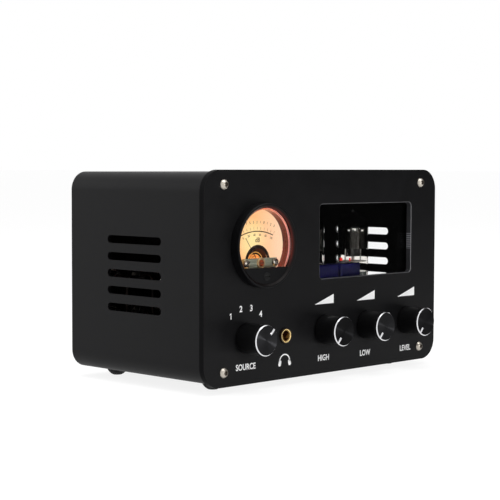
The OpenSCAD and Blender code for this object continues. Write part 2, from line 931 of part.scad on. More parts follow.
module tube_plate() {
    z0 = mica_low + mica_t;
    translate([0, 0, z0]) linear_extrude(height = mica_high - z0) {
        difference() {
            union() {
                rounded(plate_w, plate_d, plate_d / 2 - 0.4);
                square([wing_w, 1.2], center = true);
            }
            rounded(plate_w - 2 * plate_wall, plate_d - 2 * plate_wall, plate_d / 2 - 0.4 - plate_wall);
        }
    }
}

module tube_cage() {
    for (z = [mica_low, mica_high]) {
        translate([0, 0, z]) cylinder(r = mica_r, h = mica_t);
    }
    for (s = [-1, 1]) {
        translate([s * rod_x, 0, mica_low]) cylinder(r = rod_r, h = mica_high - mica_low + 1);
    }
    translate([0, 0, mica_low]) cylinder(r = cathode_r, h = mica_high - mica_low + 1.5);
    translate([getter_r, 0, mica_high]) cylinder(r = rod_r, h = getter_z - mica_high);
    translate([0, 0, getter_z]) rotate_extrude() translate([getter_r, 0]) circle(r = 0.6);
}

module tube_left_glass() {
    color([0.85, 0.88, 0.88]) at_tube(0) tube_glass();
}

module tube_left_stem() {
    color([0.7, 0.75, 0.75]) at_tube(0) tube_stem();
}

module tube_left_plate() {
    color([0.2, 0.2, 0.21]) at_tube(0) tube_plate();
}

module tube_left_cage() {
    color([0.75, 0.72, 0.68]) at_tube(0) tube_cage();
}

module tube_right_glass() {
    color([0.85, 0.88, 0.88]) at_tube(1) tube_glass();
}

module tube_right_stem() {
    color([0.7, 0.75, 0.75]) at_tube(1) tube_stem();
}

module tube_right_plate() {
    color([0.2, 0.2, 0.21]) at_tube(1) tube_plate();
}

module tube_right_cage() {
    color([0.75, 0.72, 0.68]) at_tube(1) tube_cage();
}

module tube_sockets() {
    color([0.88, 0.87, 0.83]) for (i = [0, 1]) {
        at_tube(i) translate([0, 0, -socket_h]) difference() {
            cylinder(r = tube_r + 0.5, h = socket_h);
            for (k = [0 : 6]) {
                rotate([0, 0, 45 * k]) translate([tube_pin_ring, 0, 1])
                    cylinder(r = tube_pin_r + fit_clear, h = socket_h);
            }
            translate([0, 0, -1]) cylinder(r = 2.2, h = socket_h + 2);
        }
    }
}

// Boards

module at_main_posts() {
    for (sx = [-1, 1]) {
        translate([sx * main_post_x, post_front_y]) children();
    }
    for (x = rear_post_x) {
        translate([x, main_y1 - post_rear_inset]) children();
    }
}

module at_tube_posts() {
    for (sx = [-1, 1], y = tube_post_y) {
        translate([window_x + sx * tube_post_x, y]) children();
    }
}

module main_board() {
    color([0.05, 0.2, 0.1]) placed() translate([0, 0, main_under])
    linear_extrude(height = board_t) difference() {
        translate([-main_board_w / 2, main_y0]) square([main_board_w, main_y1 - main_y0]);
        at_main_posts() circle(r = board_screw_r + hole_clear);
        at_tube_posts() circle(r = board_screw_r + hole_clear);
        for (i = switch_legs) {
            translate([-input_x + i * leg_pitch, leg_y]) circle(r = leg_hole_r);
        }
        for (x = [-treble_x, bass_x, volume_x], i = pot_legs) {
            translate([x + i * leg_pitch, leg_y]) circle(r = leg_hole_r);
        }
    }
}

module tube_board() {
    color([0.05, 0.2, 0.1]) placed() translate([0, 0, tube_under])
    linear_extrude(height = board_t) difference() {
        translate([window_x - tube_board_w / 2, tube_y0]) square([tube_board_w, tube_y1 - tube_y0]);
        at_tube_posts() circle(r = board_screw_r + hole_clear);
    }
}

module standoff(z0, z1) {
    translate([0, 0, z0]) linear_extrude(height = z1 - z0) difference() {
        circle(r = post_hex_r, $fn = 6);
        circle(r = board_screw_r + fit_clear);
    }
}

module board_standoffs() {
    color([0.75, 0.6, 0.3]) placed() {
        at_main_posts() standoff(floor_z, main_under);
        at_tube_posts() standoff(main_board_z, tube_under);
    }
}

// Pan-headed screw, its seat at Z = 0 and its shank pointing down.
module pan_screw(len) {
    difference() {
        union() {
            cylinder(r = board_head_r, h = board_head_h);
            translate([0, 0, -len]) cylinder(r = board_screw_r, h = len + 0.5);
        }
        for (a = [0, 90]) {
            rotate([0, 0, a]) translate([-1.6, -0.35, board_head_h - 0.9]) cube([3.2, 0.7, 2]);
        }
    }
}

module board_screws() {
    short = board_t + 2.5;
    color([0.7, 0.7, 0.72]) placed() {
        at_main_posts() translate([0, 0, main_board_z]) pan_screw(short);
        at_main_posts() translate([0, 0, panel_overhang]) rotate([180, 0, 0]) pan_screw(case_wall + 2.5);
        at_tube_posts() translate([0, 0, tube_board_z]) pan_screw(short);
        at_tube_posts() translate([0, 0, main_under]) rotate([180, 0, 0]) pan_screw(short);
    }
}

module film_capacitors() {
    color([0.05, 0.1, 0.45]) placed() for (i = [0, 1]) {
        translate([film_x - (i + 1) * film_w - i * film_gap, film_y, tube_board_z])
            cube([film_w, film_t, film_h]);
    }
}

module electrolytic_capacitors() {
    color([0.08, 0.08, 0.12]) placed() {
        for (i = [0 : 2]) {
            translate([window_x + (i - 1) * can_pitch, can_y, main_board_z]) cylinder(d = can_d, h = can_h);
        }
        for (i = [0 : 3]) {
            translate([window_x + (i - 1.5) * tube_can_pitch, tube_can_y, tube_board_z])
                cylinder(d = tube_can_d, h = tube_can_h);
        }
        for (i = [0 : 3]) {
            translate([row_x + small_can_d / 2 + i * small_can_pitch, small_can_y, main_board_z])
                cylinder(d = small_can_d, h = small_can_h);
        }
    }
}

module board_header() {
    pins = 8;
    w = pins * header_pitch;
    pin_len = tube_under - header_cap_h - main_board_z - header_h + 1;
    color([0.05, 0.05, 0.05]) placed() translate([window_x - w / 2, header_y - header_d / 2, 0]) {
        translate([0, 0, main_board_z]) cube([w, header_d, header_h]);
        translate([0, 0, tube_under - header_cap_h]) cube([w, header_d, header_cap_h]);
        for (i = [0 : pins - 1]) {
            x = (i + 0.5) * header_pitch - header_pin / 2;
            translate([x, (header_d - header_pin) / 2, main_board_z + header_h - 0.5])
                cube([header_pin, header_pin, pin_len]);
        }
    }
}

module signal_chips() {
    color([0.06, 0.06, 0.07]) placed() {
        for (i = [0 : 2]) {
            translate([row_x + i * chip_pitch, chip_row_y, main_board_z]) cube([chip_w, chip_d, chip_h]);
        }
        for (i = [0 : 1]) {
            translate([row_x + i * chip_pitch, relay_row_y, main_board_z]) cube([relay_w, relay_d, relay_h]);
        }
    }
}

// Lead from (x, y, z) towards -Y, then down to the main board at y_drop.
module lead_forward(x, y, z, y_drop) {
    translate([x, 0, 0]) {
        translate([0, 0, z]) bar_y(wire_r, y_drop + bend_r, y);
        translate([0, y_drop + bend_r, z - bend_r]) rotate([0, -90, 0]) rotate([0, 0, -90])
            rotate_extrude(angle = 90) translate([bend_r, 0]) circle(r = wire_r);
        translate([0, y_drop, main_board_z]) cylinder(r = wire_r, h = z - bend_r - main_board_z);
    }
}

module internal_wires() {
    color([0.6, 0.1, 0.08]) placed() {
        for (x = rca_cols) {
            lead_forward(x, tail_in, rca_rows[0], lead_row[0]);
            lead_forward(x, tail_in, rca_rows[1], lead_row[1]);
        }
        for (s = [-1, 1]) {
            lead_forward(inlet_x + s * lead_side, inlet_in, power_z, power_lead_y);
            lead_forward(power_x + s * lead_side, power_in, power_z, power_lead_y);
            translate([-meter_x + 6 * s, 2 * meter_depth + 10, 0]) mirror([0, 1, 0])
                lead_forward(0, meter_depth + 10, meter_z - pivot_drop, meter_depth + 1);
        }
    }
}

// Rear connectors

module at_rca() {
    placed() for (x = rca_cols, z = rca_rows) {
        translate([x, case_depth, z]) children();
    }
}

module rca_shells() {
    flange_y = ring_t;
    sleeve_y = flange_y + flange_t;
    color([0.83, 0.64, 0.28]) at_rca() difference() {
        union() {
            bar_y(rca_flange_r, flange_y, sleeve_y);
            bar_y(rca_r, flange_y, sleeve_y + rca_len);
            bar_y(tail_r, tail_in - case_depth, flange_y + 0.5);
        }
        bar_y(core_r + fit_clear, sleeve_y, sleeve_y + rca_len + 1);
    }
}

module rca_rings() {
    color([0.8, 0.8, 0.78]) at_rca() difference() {
        bar_y(rca_ring_r, 0, ring_t);
        bar_y(tail_r + fit_clear, -1, ring_t + 1);
    }
}

module rca_cores() {
    sleeve_y = ring_t + flange_t;
    color([0.9, 0.9, 0.88]) at_rca() difference() {
        bar_y(core_r, sleeve_y, sleeve_y + rca_len - core_short);
        bar_y(core_hole_r, sleeve_y + core_floor, sleeve_y + rca_len);
    }
}

module rca_nuts() {
    color([0.75, 0.72, 0.6]) at_rca() difference() {
        along_y(-rear_t - rca_nut_t, -rear_t) circle(r = rca_nut_r, $fn = 6);
        bar_y(tail_r + fit_clear, -rear_t - rca_nut_t - 1, -rear_t + 1);
    }
}

module dc_inlet() {
    color([0.05, 0.05, 0.05]) placed() translate([inlet_x, 0, power_z]) difference() {
        union() {
            bar_y(inlet_r, inlet_in, case_depth + inlet_flange_t / 2);
            bar_y(inlet_r + inlet_lip, case_depth, case_depth + inlet_flange_t);
            along_y(body_end - inlet_nut_t, body_end) circle(r = inlet_nut_r, $fn = 6);
        }
        bar_y(inlet_hole_r, case_depth - inlet_depth, case_depth + inlet_flange_t + 1);
        bar_y(inlet_pin_r + fit_clear, case_depth - inlet_depth - inlet_seat, case_depth);
    }
}

module dc_pin() {
    color([0.8, 0.8, 0.78]) placed() translate([inlet_x, 0, power_z])
        bar_y(inlet_pin_r, case_depth - inlet_depth - inlet_seat, case_depth);
}

module power_housing() {
    inner_w = power_body_w - 2 * power_wall;
    inner_h = power_body_h - 2 * power_wall;
    color([0.04, 0.04, 0.04]) placed() translate([power_x, 0, power_z]) difference() {
        union() {
            along_y(case_depth, case_depth + power_bezel_t) square([power_w, power_h], center = true);
            along_y(power_in, case_depth + power_bezel_t / 2)
                square([power_body_w, power_body_h], center = true);
        }
        along_y(power_in + power_floor, case_depth + power_bezel_t + 1)
            square([inner_w, inner_h], center = true);
        translate([0, rocker_y, 0]) rotate([0, 90, 0])
            cylinder(r = rocker_pin_r + run_clear, h = inner_w + 1.4, center = true);
    }
}

module power_rocker() {
    inner_w = power_body_w - 2 * power_wall;
    color([0.09, 0.09, 0.09]) placed() translate([power_x, rocker_y, power_z]) rotate([rocker_tilt, 0, 0]) {
        rotate([90, 0, 90]) linear_extrude(height = rocker_w, center = true) polygon([
            [-3, -rocker_half],
            [6, -rocker_half],
            [4.4, 0],
            [6, rocker_half],
            [-3, rocker_half]
        ]);
        rotate([0, 90, 0]) cylinder(r = rocker_pin_r, h = inner_w + 1, center = true);
    }
}

front_panel();
case_shell();
rear_panel();
front_screws();
rear_screws();
feet();
window_pane();
window_gasket();
meter_rim();
meter_case();
meter_lens();
meter_dial();
meter_magnet();
meter_bridge();
meter_needle();
meter_zero_screw();
meter_lamps();
meter_clamp_ring();
input_switch();
input_shaft();
input_knob();
treble_pot();
treble_shaft();
treble_knob();
bass_pot();
bass_shaft();
bass_knob();
volume_pot();
volume_shaft();
volume_knob();
control_nuts();
jack_body();
jack_bushing();
jack_contacts();
tube_left_glass();
tube_left_stem();
tube_left_plate();
tube_left_cage();
tube_right_glass();
tube_right_stem();
tube_right_plate();
tube_right_cage();
tube_sockets();
tube_board();
main_board();
board_standoffs();
board_screws();
film_capacitors();
electrolytic_capacitors();
board_header();
signal_chips();
internal_wires();
rca_shells();
rca_rings();
rca_cores();
rca_nuts();
dc_inlet();
dc_pin();
power_housing();
power_rocker();
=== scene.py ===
"""Tube preamplifier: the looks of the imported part, laid out as an add-on and run as a script."""
import math

import bmesh
import bpy
from bpy.props import FloatProperty, FloatVectorProperty, PointerProperty
from mathutils import Matrix, Vector


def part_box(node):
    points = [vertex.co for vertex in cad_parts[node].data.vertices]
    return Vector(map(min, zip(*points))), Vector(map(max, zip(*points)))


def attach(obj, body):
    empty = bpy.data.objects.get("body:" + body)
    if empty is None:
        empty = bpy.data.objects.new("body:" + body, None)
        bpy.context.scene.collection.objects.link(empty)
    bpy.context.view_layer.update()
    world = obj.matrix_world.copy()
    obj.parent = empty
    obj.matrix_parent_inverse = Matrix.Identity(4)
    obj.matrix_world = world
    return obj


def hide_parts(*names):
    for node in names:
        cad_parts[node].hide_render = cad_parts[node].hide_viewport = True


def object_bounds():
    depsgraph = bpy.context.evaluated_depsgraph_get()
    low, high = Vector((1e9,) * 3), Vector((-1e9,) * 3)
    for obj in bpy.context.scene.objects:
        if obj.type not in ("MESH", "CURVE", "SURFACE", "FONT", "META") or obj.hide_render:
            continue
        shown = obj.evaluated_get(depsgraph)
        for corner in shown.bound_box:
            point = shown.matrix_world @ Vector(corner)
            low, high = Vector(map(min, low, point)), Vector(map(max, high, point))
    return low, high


bl_info = {
    "name": "Tube Preamplifier",
    "version": (1, 0, 0),
    "blender": (4, 5, 0),
    "location": "View3D > Sidebar > Preamplifier",
    "description": "Builds the looks of a tube preamplifier on its packed frame",
    "category": "Object",
}

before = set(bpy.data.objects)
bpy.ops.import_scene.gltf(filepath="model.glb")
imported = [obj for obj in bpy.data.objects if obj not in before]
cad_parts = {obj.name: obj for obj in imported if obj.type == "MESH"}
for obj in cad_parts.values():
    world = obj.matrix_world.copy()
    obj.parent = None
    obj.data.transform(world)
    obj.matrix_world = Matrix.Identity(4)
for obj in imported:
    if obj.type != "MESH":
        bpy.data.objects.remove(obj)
CAD_BOX = [list(corner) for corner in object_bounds()]
PANEL_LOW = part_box("front_panel")[0]
MM = 0.001
MERGE, CAD_MERGE = 1e-7, 2e-6  # points closer than this are one
INK, GETTER = 0.00002, 0.00006  # thickness of the print and of the tubes' mirror film
CAP_HEIGHT = 0.7  # share of capitals in the size of the font
BLACK, WHITE = (0, 0, 0, 1), (1, 1, 1, 1)
FRONT = Matrix.Rotation(math.pi / 2, 4, "X")
BACK = Matrix.Rotation(math.pi, 4, "Z") @ FRONT
shift = Matrix.Translation


def turned(degrees, axis):
    return Matrix.Rotation(math.radians(degrees), 4, axis)


def at(x, depth, height):
    """Point from millimetres: right of the panel's centre, behind its face, above its bottom edge."""
    return Vector((x * MM, PANEL_LOW.y + depth * MM, PANEL_LOW.z + height * MM))


def centre(node):
    low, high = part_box(node)
    return (low + high) / 2


def placed(name, data):
    """New object in the scene."""
    piece = bpy.data.objects.new(name, data)
    bpy.context.scene.collection.objects.link(piece)
    return piece


# Sizes and colours


def length(name, description, default):
    return FloatProperty(name=name, description=description, default=default, unit="LENGTH", precision=5)


def colour(name, description, default):
    return FloatVectorProperty(
        name=name, description=description, default=default, subtype="COLOR", size=3, min=0, max=1
    )


class PREAMP_PG_sizes(bpy.types.PropertyGroup):
    """Sizes that only the looks need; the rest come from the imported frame."""

    panel_edge: length("Panel edge", "Rounding of the front panel's edges", 0.00045)
    slot_edge: length("Slot edge", "Rounding of the vent slots and the case's ends", 0.0003)
    print_lift: length("Print", "How far the printed marks stand off the panel", 0.00003)
    digit_size: length("Digits", "Height of the selector's digits", 0.0033)
    word_size: length("Words", "Height of the words under the knobs", 0.0033)
    dial_digit_size: length("Dial digits", "Height of the digits on the dial", 0.0014)
    knob_radius: length("Knob radius", "Outer radius of the knobs", 0.0085)
    knob_cut: length("Knob cut", "Width of the bright cut round a knob's face", 0.00047)


class PREAMP_PG_colours(bpy.types.PropertyGroup):
    """Colours of the finishes."""

    panel: colour("Panel", "Black of the front panel", (0.0025, 0.0025, 0.0029))
    case: colour("Case", "Black of the extruded case", (0.0033, 0.0033, 0.0037))
    knob: colour("Knob", "Black of the turned knobs", (0.006, 0.006, 0.0065))
    cut_metal: colour("Cut metal", "Bright cut aluminium", (0.82, 0.82, 0.84))
    nickel: colour("Nickel", "Plated screws", (0.66, 0.62, 0.55))
    gold: colour("Gold", "Gold plating", (0.83, 0.55, 0.18))
    print_white: colour("Print", "White printed marks", (0.95, 0.95, 0.95))
    plastic: colour("Plastic", "Black moulded plastic", (0.008, 0.008, 0.0085))
    board: colour("Board", "Green of the circuit boards", (0.010, 0.055, 0.022))
    film: colour("Film", "Blue of the film capacitors", (0.007, 0.0065, 0.056))
    lamp_core: colour("Lamp core", "Light at the middle of the dial", (1.0, 0.98, 0.45))
    lamp_warm: colour("Lamp", "Light towards the rim of the dial", (1.0, 0.49, 0.19))
    lamp_pink: colour("Lamp edge", "Light at the right of the dial", (1.0, 0.66, 0.45))


def sizes():
    return bpy.context.scene.preamp_sizes


def colours():
    return bpy.context.scene.preamp_colours


# Nodes


def feed(node, key, value):
    """Links a socket to a node's input, or sets the input's own value."""
    if isinstance(value, bpy.types.NodeSocket):
        node.id_data.links.new(value, node.inputs[key])
    else:
        node.inputs[key].default_value = value


def put(node, **inputs):
    """Feeds a node's inputs by name, with underscores for spaces."""
    for key, value in inputs.items():
        feed(node, key.replace("_", " "), value)


def add(near, kind, *values, **settings):
    """New node in the tree of a socket, with its settings and its first inputs."""
    node = near.id_data.nodes.new(f"ShaderNode{kind}")
    for key, value in settings.items():
        setattr(node, key, value)
    for index, value in enumerate(values):
        feed(node, index, value)
    return node


def maths(operation, *values):
    return add(values[0], "Math", *values, operation=operation).outputs[0]


def vectors(operation, *values):
    """Vector out of vectors, or one number for a length or distance."""
    node = add(values[0], "VectorMath", *values, operation=operation)
    return node.outputs["Value" if operation in ("LENGTH", "DISTANCE") else "Vector"]


def axes(vector):
    """Outputs X, Y and Z of a vector."""
    return add(vector, "SeparateXYZ", vector).outputs


def radial(vector):
    """Distance from the Y axis."""
    return vectors("LENGTH", vectors("MULTIPLY", vector, (1, 0, 1)))


def noise(vector, scale, detail=3.0, rough=0.55):
    node = add(vector, "TexNoise")
    put(node, Vector=vector, Scale=scale, Detail=detail, Roughness=rough)
    return node.outputs["Fac"]


def remap(value, low, high, to_low=0.0, to_high=1.0):
    node = add(value, "MapRange")
    put(node, Value=value, From_Min=low, From_Max=high, To_Min=to_low, To_Max=to_high)
    return node.outputs["Result"]


def blended(factor, first, second):
    """Mix of two colours; the mix node's colour sockets have places 6 and 7."""
    node = add(factor, "Mix", factor, data_type="RGBA")
    feed(node, 6, first)
    feed(node, 7, second)
    return node.outputs[2]


# Patterns: node groups that several finishes share

SOCKET_KINDS = {
    "Vector": "NodeSocketVector",
    "Base": "NodeSocketColor",
    "Tint": "NodeSocketColor",
    "Colour": "NodeSocketColor",
}
SURFACE_IN = ("Vector", "Base", "Tint", "Rough Low", "Rough High")
SURFACE_OUT = ("Colour", "Roughness", "Height")


def surface(given, mask, smudge, height):
    """Outputs of a pattern: tinted by a mask, rougher by a smudge."""
    return {
        "Colour": blended(mask, given["Base"], given["Tint"]),
        "Roughness": remap(smudge, 0.3, 0.7, given["Rough Low"], given["Rough High"]),
        "Height": height,
    }


def grain(given):
    """Fine surface grain with broad handling marks."""
    fine = noise(given["Vector"], given["Scale"])
    broad = noise(given["Vector"], maths("MULTIPLY", given["Scale"], 0.035), 4.0, 0.6)
    return surface(given, remap(maths("MULTIPLY", fine, broad), 0.12, 0.42), broad, fine)


def streaks(given):
    """Long fine streaks along one axis, as on drawn or brushed metal."""
    lines = noise(vectors("MULTIPLY", given["Vector"], (60.0, 60.0, 2200.0)), 1.0, 2.0)
    return surface(given, lines, noise(given["Vector"], 130.0), lines)


def rings(given):
    """Concentric tool marks of a face turned about the Y axis."""
    radius = add(given["Vector"], "CombineXYZ", radial(given["Vector"])).outputs[0]
    lines = noise(radius, given["Pitch"], 2.0)
    return {"Colour": blended(lines, given["Base"], given["Tint"]), "Height": lines}


PATTERNS = {
    grain: ("Finish grain", (*SURFACE_IN, "Scale"), SURFACE_OUT),
    streaks: ("Drawn streaks", SURFACE_IN, SURFACE_OUT),
    rings: ("Turned rings", ("Vector", "Base", "Tint", "Pitch"), ("Colour", "Height")),
}


def pattern(draw):
    """Node group of a pattern, built once."""
    name, inputs, outputs = PATTERNS[draw]
    if name not in bpy.data.node_groups:
        tree = bpy.data.node_groups.new(name, "ShaderNodeTree")
        for side, labels in (("INPUT", inputs), ("OUTPUT", outputs)):
            for label in labels:
                kind = SOCKET_KINDS.get(label, "NodeSocketFloat")
                tree.interface.new_socket(name=label, in_out=side, socket_type=kind)
        given = tree.nodes.new("NodeGroupInput").outputs
        put(tree.nodes.new("NodeGroupOutput"), **draw(given))
    return bpy.data.node_groups[name]


# Finishes


def shade(value, factor=1.0):
    return tuple(min(1.0, c * factor) for c in value) + (1.0,)


def bumped(height, strength, distance):
    """Normal of a surface with a height."""
    node = add(height, "Bump")
    put(node, Strength=strength, Distance=distance, Height=height)
    return node.outputs["Normal"]


def finish(inputs):
    """Makes materials by name, each once, out of a function from object coordinates to shader inputs."""

    def found(name, *values, **sockets):
        if name not in bpy.data.materials:
            mat = bpy.data.materials.new(name)
            mat.use_nodes = True
            nodes = mat.node_tree.nodes
            vector = nodes.new("ShaderNodeTexCoord").outputs["Object"]
            put(nodes["Principled BSDF"], **inputs(vector, *values, **sockets))
        return bpy.data.materials[name]

    found.inputs = inputs
    return found


def patterned(vector, draw, base, tint, rough, bump=0.0, depth=0.0, **values):
    """Colour, roughness and normal out of a pattern."""
    node = add(vector, "Group", node_tree=pattern(draw))
    put(node, Vector=vector, Base=shade(base), Tint=shade(base, tint), **values)
    put(node, Rough_Low=rough[0], Rough_High=rough[1])
    given = {"Base_Color": node.outputs["Colour"], "Roughness": node.outputs["Roughness"]}
    if bump:
        given["Normal"] = bumped(node.outputs["Height"], bump, depth)
    return given


@finish
def grained(vector, base, tint, rough, scale=900.0, bump=0.15, depth=0.00002, spec=0.5, **sockets):
    """Fine grain; further names are the shader's own sockets."""
    given = patterned(vector, grain, base, tint, rough, bump, depth, Scale=scale)
    return given | dict(Specular_IOR_Level=spec, **sockets)


@finish
def drawn(vector, base, tint, rough, **sockets):
    """Metal with fine streaks."""
    return patterned(vector, streaks, base, tint, rough, 0.08, 0.00001) | {"Metallic": 1.0, **sockets}


@finish
def clear_glass(vector, tint, ior=1.49, rough=(0.0, 0.02)):
    """Clear material with faint smears in its gloss."""
    given = patterned(vector, grain, tint, 0.985, rough, Scale=400.0)
    return given | dict(Transmission_Weight=1.0, IOR=ior)


@finish
def glowing(vector, base, glow, strength):
    """Faintly mottled surface that gives light."""
    mottle = noise(vector, 600.0)
    return dict(
        Emission_Color=blended(mottle, shade(glow, 0.8), shade(glow)),
        Base_Color=blended(mottle, shade(base, 0.9), shade(base)),
        Emission_Strength=strength,
    )


def plastic_black():
    return grained("Moulded black", colours().plastic, 1.8, (0.26, 0.36), 1500.0, 0.08, spec=0.45)


def nickel():
    return drawn("Nickel plating", colours().nickel, 0.82, (0.3, 0.42))


def gold_plate():
    return drawn("Gold plating", colours().gold, 0.85, (0.14, 0.26))


def white_print():
    return grained("White print", colours().print_white, 0.93, (0.55, 0.65), 1800.0, 0.1, 0.00001)


# Meshes


def piece_of(name, bm, materials):
    """New object out of a finished bmesh."""
    mesh = bpy.data.meshes.new(name)
    bm.to_mesh(mesh)
    bm.free()
    for mat in materials if isinstance(materials, list) else [materials]:
        mesh.materials.append(mat)
    return placed(name, mesh)


def settle(name, bm, materials, body="chassis", replaces=(), angle=32.0):
    """Piece out of a finished bmesh that rides on a body, and may stand for CAD nodes."""
    piece = piece_of(name, bm, materials)
    piece.data.shade_smooth()
    piece.data.set_sharp_from_angle(angle=math.radians(angle))
    piece.modifiers.new("even_normals", "WEIGHTED_NORMAL").keep_sharp = True
    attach(piece, body)
    if replaces:
        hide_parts(*replaces)
    return piece


def close(bm):
    """Joins the seams of a form and turns its faces outwards."""
    bmesh.ops.remove_doubles(bm, verts=bm.verts, dist=MERGE)
    bmesh.ops.recalc_face_normals(bm, faces=bm.faces)


def thicken(bm, thickness):
    """Makes a closed sheet out of a surface."""
    bmesh.ops.solidify(bm, geom=bm.faces[:], thickness=thickness)
    bmesh.ops.recalc_face_normals(bm, faces=bm.faces)


def spun(bm, profile, middle, steps, material, axis="Y"):
    """Adds a turned form: the profile holds (radius, place along the axis) in metres from the middle."""
    before = set(bm.faces)
    verts = []
    for radius, along in profile:
        point = (radius, along, 0) if axis == "Y" else (radius, 0, along)
        verts.append(bm.verts.new(middle + Vector(point)))
    edges = [bm.edges.new(pair) for pair in zip(verts, verts[1:])]
    bmesh.ops.spin(
        bm, geom=verts + edges, cent=middle, axis=(0, 1, 0) if axis == "Y" else (0, 0, 1), dvec=(0, 0, 0),
        angle=2 * math.pi, steps=steps, use_merge=True,
    )
    made = [f for f in bm.faces if f not in before]
    bmesh.ops.remove_doubles(bm, verts=list({v for f in made for v in f.verts}), dist=MERGE)
    made = [f for f in bm.faces if f.is_valid and f not in before]
    bmesh.ops.recalc_face_normals(bm, faces=made)
    for face in made:
        face.material_index = material


def round_edges(bm, edges, offset, segments):
    bmesh.ops.bevel(
        bm, geom=edges, offset=offset, segments=segments, profile=0.5, affect="EDGES", material=-1,
        clamp_overlap=True, loop_slide=False,
    )


def block(bm, low, high, edge, segments, material, turn):
    """Adds a box between two corners, turned and with rounded edges."""
    low, high = (Vector(corner) for corner in zip(*(sorted(pair) for pair in zip(low, high))))
    made = bmesh.ops.create_cube(bm, size=1.0)["verts"]
    bmesh.ops.scale(bm, vec=high - low, verts=made)
    bmesh.ops.translate(bm, vec=(low + high) / 2, verts=made)
    bmesh.ops.transform(bm, matrix=turn, verts=made)
    faces = {f for v in made for f in v.link_faces}
    for face in faces:
        face.material_index = material
    if edge > 0:
        round_edges(bm, list({e for f in faces for e in f.edges}), edge, segments)


def sharp_edges(bm, angle):
    limit = math.radians(angle)
    return [e for e in bm.edges if len(e.link_faces) == 2 and e.calc_face_angle(0) > limit]


def refined(
    node, materials, edge=0.0002, segments=2, angle=40.0, body="chassis", mark=None, wide=None
):
    """Merged copy of a CAD node with its sharp edges rounded, standing for that node."""
    bm = bmesh.new()
    bm.from_mesh(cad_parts[node].data)
    bmesh.ops.remove_doubles(bm, verts=bm.verts, dist=CAD_MERGE)
    bmesh.ops.dissolve_limit(
        bm, angle_limit=math.radians(0.4), verts=bm.verts, edges=bm.edges, use_dissolve_boundaries=False
    )
    if wide:
        chosen, offset = wide
        round_edges(bm, [e for e in sharp_edges(bm, angle) if chosen(e)], offset, 3)
    if edge > 0:
        round_edges(bm, sharp_edges(bm, angle), edge, segments)
    if mark:
        for face in bm.faces:
            face.material_index = int(mark(face))
    return settle(f"{node}_finish", bm, materials, body, (node,), 40.0)


def dress(mat, *nodes):
    """Gives CAD nodes a finish."""
    for node in nodes:
        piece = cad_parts[node]
        if not piece.material_slots:
            piece.data.materials.append(mat)
        for entry in piece.material_slots:
            entry.material = mat


def curve_mesh(data):
    """Mesh of a curve or text, which is used up."""
    holder = placed("outline", data)
    evaluated = holder.evaluated_get(bpy.context.evaluated_depsgraph_get())
    mesh = bpy.data.meshes.new_from_object(evaluated)
    bpy.data.objects.remove(holder)
    bpy.data.curves.remove(data)
    return mesh


def outline_mesh(loops, thick=0.0):
    """Closed outlines in X and Y, holes among them, filled flat or made solid."""
    data = bpy.data.curves.new("outline", "CURVE")
    data.dimensions = "2D"
    data.fill_mode = "BOTH"
    data.extrude = thick / 2
    for points in loops:
        spline = data.splines.new("POLY")
        spline.points.add(len(points) - 1)
        for target, (x, y) in zip(spline.points, points):
            target.co = (x, y, 0, 1)
        spline.use_cyclic_u = True
    return curve_mesh(data)


def flat(*loops):
    return outline_mesh(loops)


def arc_points(x, y, radius, start=0.0, end=360.0, count=64):
    steps = count if abs(end - start) >= 360 else count - 1
    turn = [math.radians(start + (end - start) * i / steps) for i in range(count)]
    return [(x + radius * math.cos(t), y + radius * math.sin(t)) for t in turn]


def arc_strip(inner, outer, start, end, count=48):
    """Outline of a band along a circle's arc."""
    return arc_points(0, 0, outer, start, end, count) + arc_points(0, 0, inner, end, start, count)


def rounded_points(w, h, r, count):
    """Outline of a rectangle with round corners about the origin."""
    points = []
    for sx, sy, start in ((1, 1, 0), (-1, 1, 90), (-1, -1, 180), (1, -1, 270)):
        points += arc_points(sx * (w / 2 - r), sy * (h / 2 - r), r, start, start + 90, count)
    return points


def rectangle(low_x, low_y, high_x, high_y):
    return [(low_x, low_y), (high_x, low_y), (high_x, high_y), (low_x, high_y)]


def text(words, size, bold=0.012):
    """Flat word or number of the given height, centred in X and Y."""
    data = bpy.data.curves.new("text", "FONT")
    data.body = words
    data.size = size / CAP_HEIGHT
    data.align_x = data.align_y = "CENTER"
    data.offset = size * bold
    data.resolution_u = 4
    return curve_mesh(data)


def joined(bm, mesh, turn, material=0):
    """Adds a finished mesh to a bmesh, turned and moved, with one of the piece's materials."""
    known = set(bm.faces)
    mesh.transform(turn)
    bm.from_mesh(mesh)
    bpy.data.meshes.remove(mesh)
    for face in bm.faces:
        if face not in known:
            face.material_index = material


def gather(name, marks, mat, place, body="chassis"):
    """One thin printed piece out of flat marks, each a mesh with its turn, moved to a place."""
    bm = bmesh.new()
    for mesh, turn in marks:
        joined(bm, mesh, shift(place) @ turn)
    bmesh.ops.remove_doubles(bm, verts=bm.verts, dist=MERGE)
    thicken(bm, INK)
    settle(name, bm, mat, body)


# Case


@finish
def screw_plating_and_socket_shade(vector):
    """Pale plating, with painted shade in and about the hex socket of each of the four screws."""
    low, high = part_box("front_screws")
    head = 0.00285
    folded = vectors("ABSOLUTE", vectors("SUBTRACT", vector, (low + high) / 2))
    reach = radial(vectors("SUBTRACT", folded, (high - low) / 2 - Vector((head, 0, head))))
    pale = blended(noise(vector, 900.0), (0.42, 0.38, 0.33, 1), (0.60, 0.56, 0.49, 1))
    # painted shade: the head turns dark within a small radius of its axis, in and about the socket
    tone = blended(remap(reach, 0.0012, 0.0015, 1.0, 0.0), pale, (0.13, 0.11, 0.09, 1))
    return dict(Base_Color=tone, Metallic=0.7, Roughness=0.32)


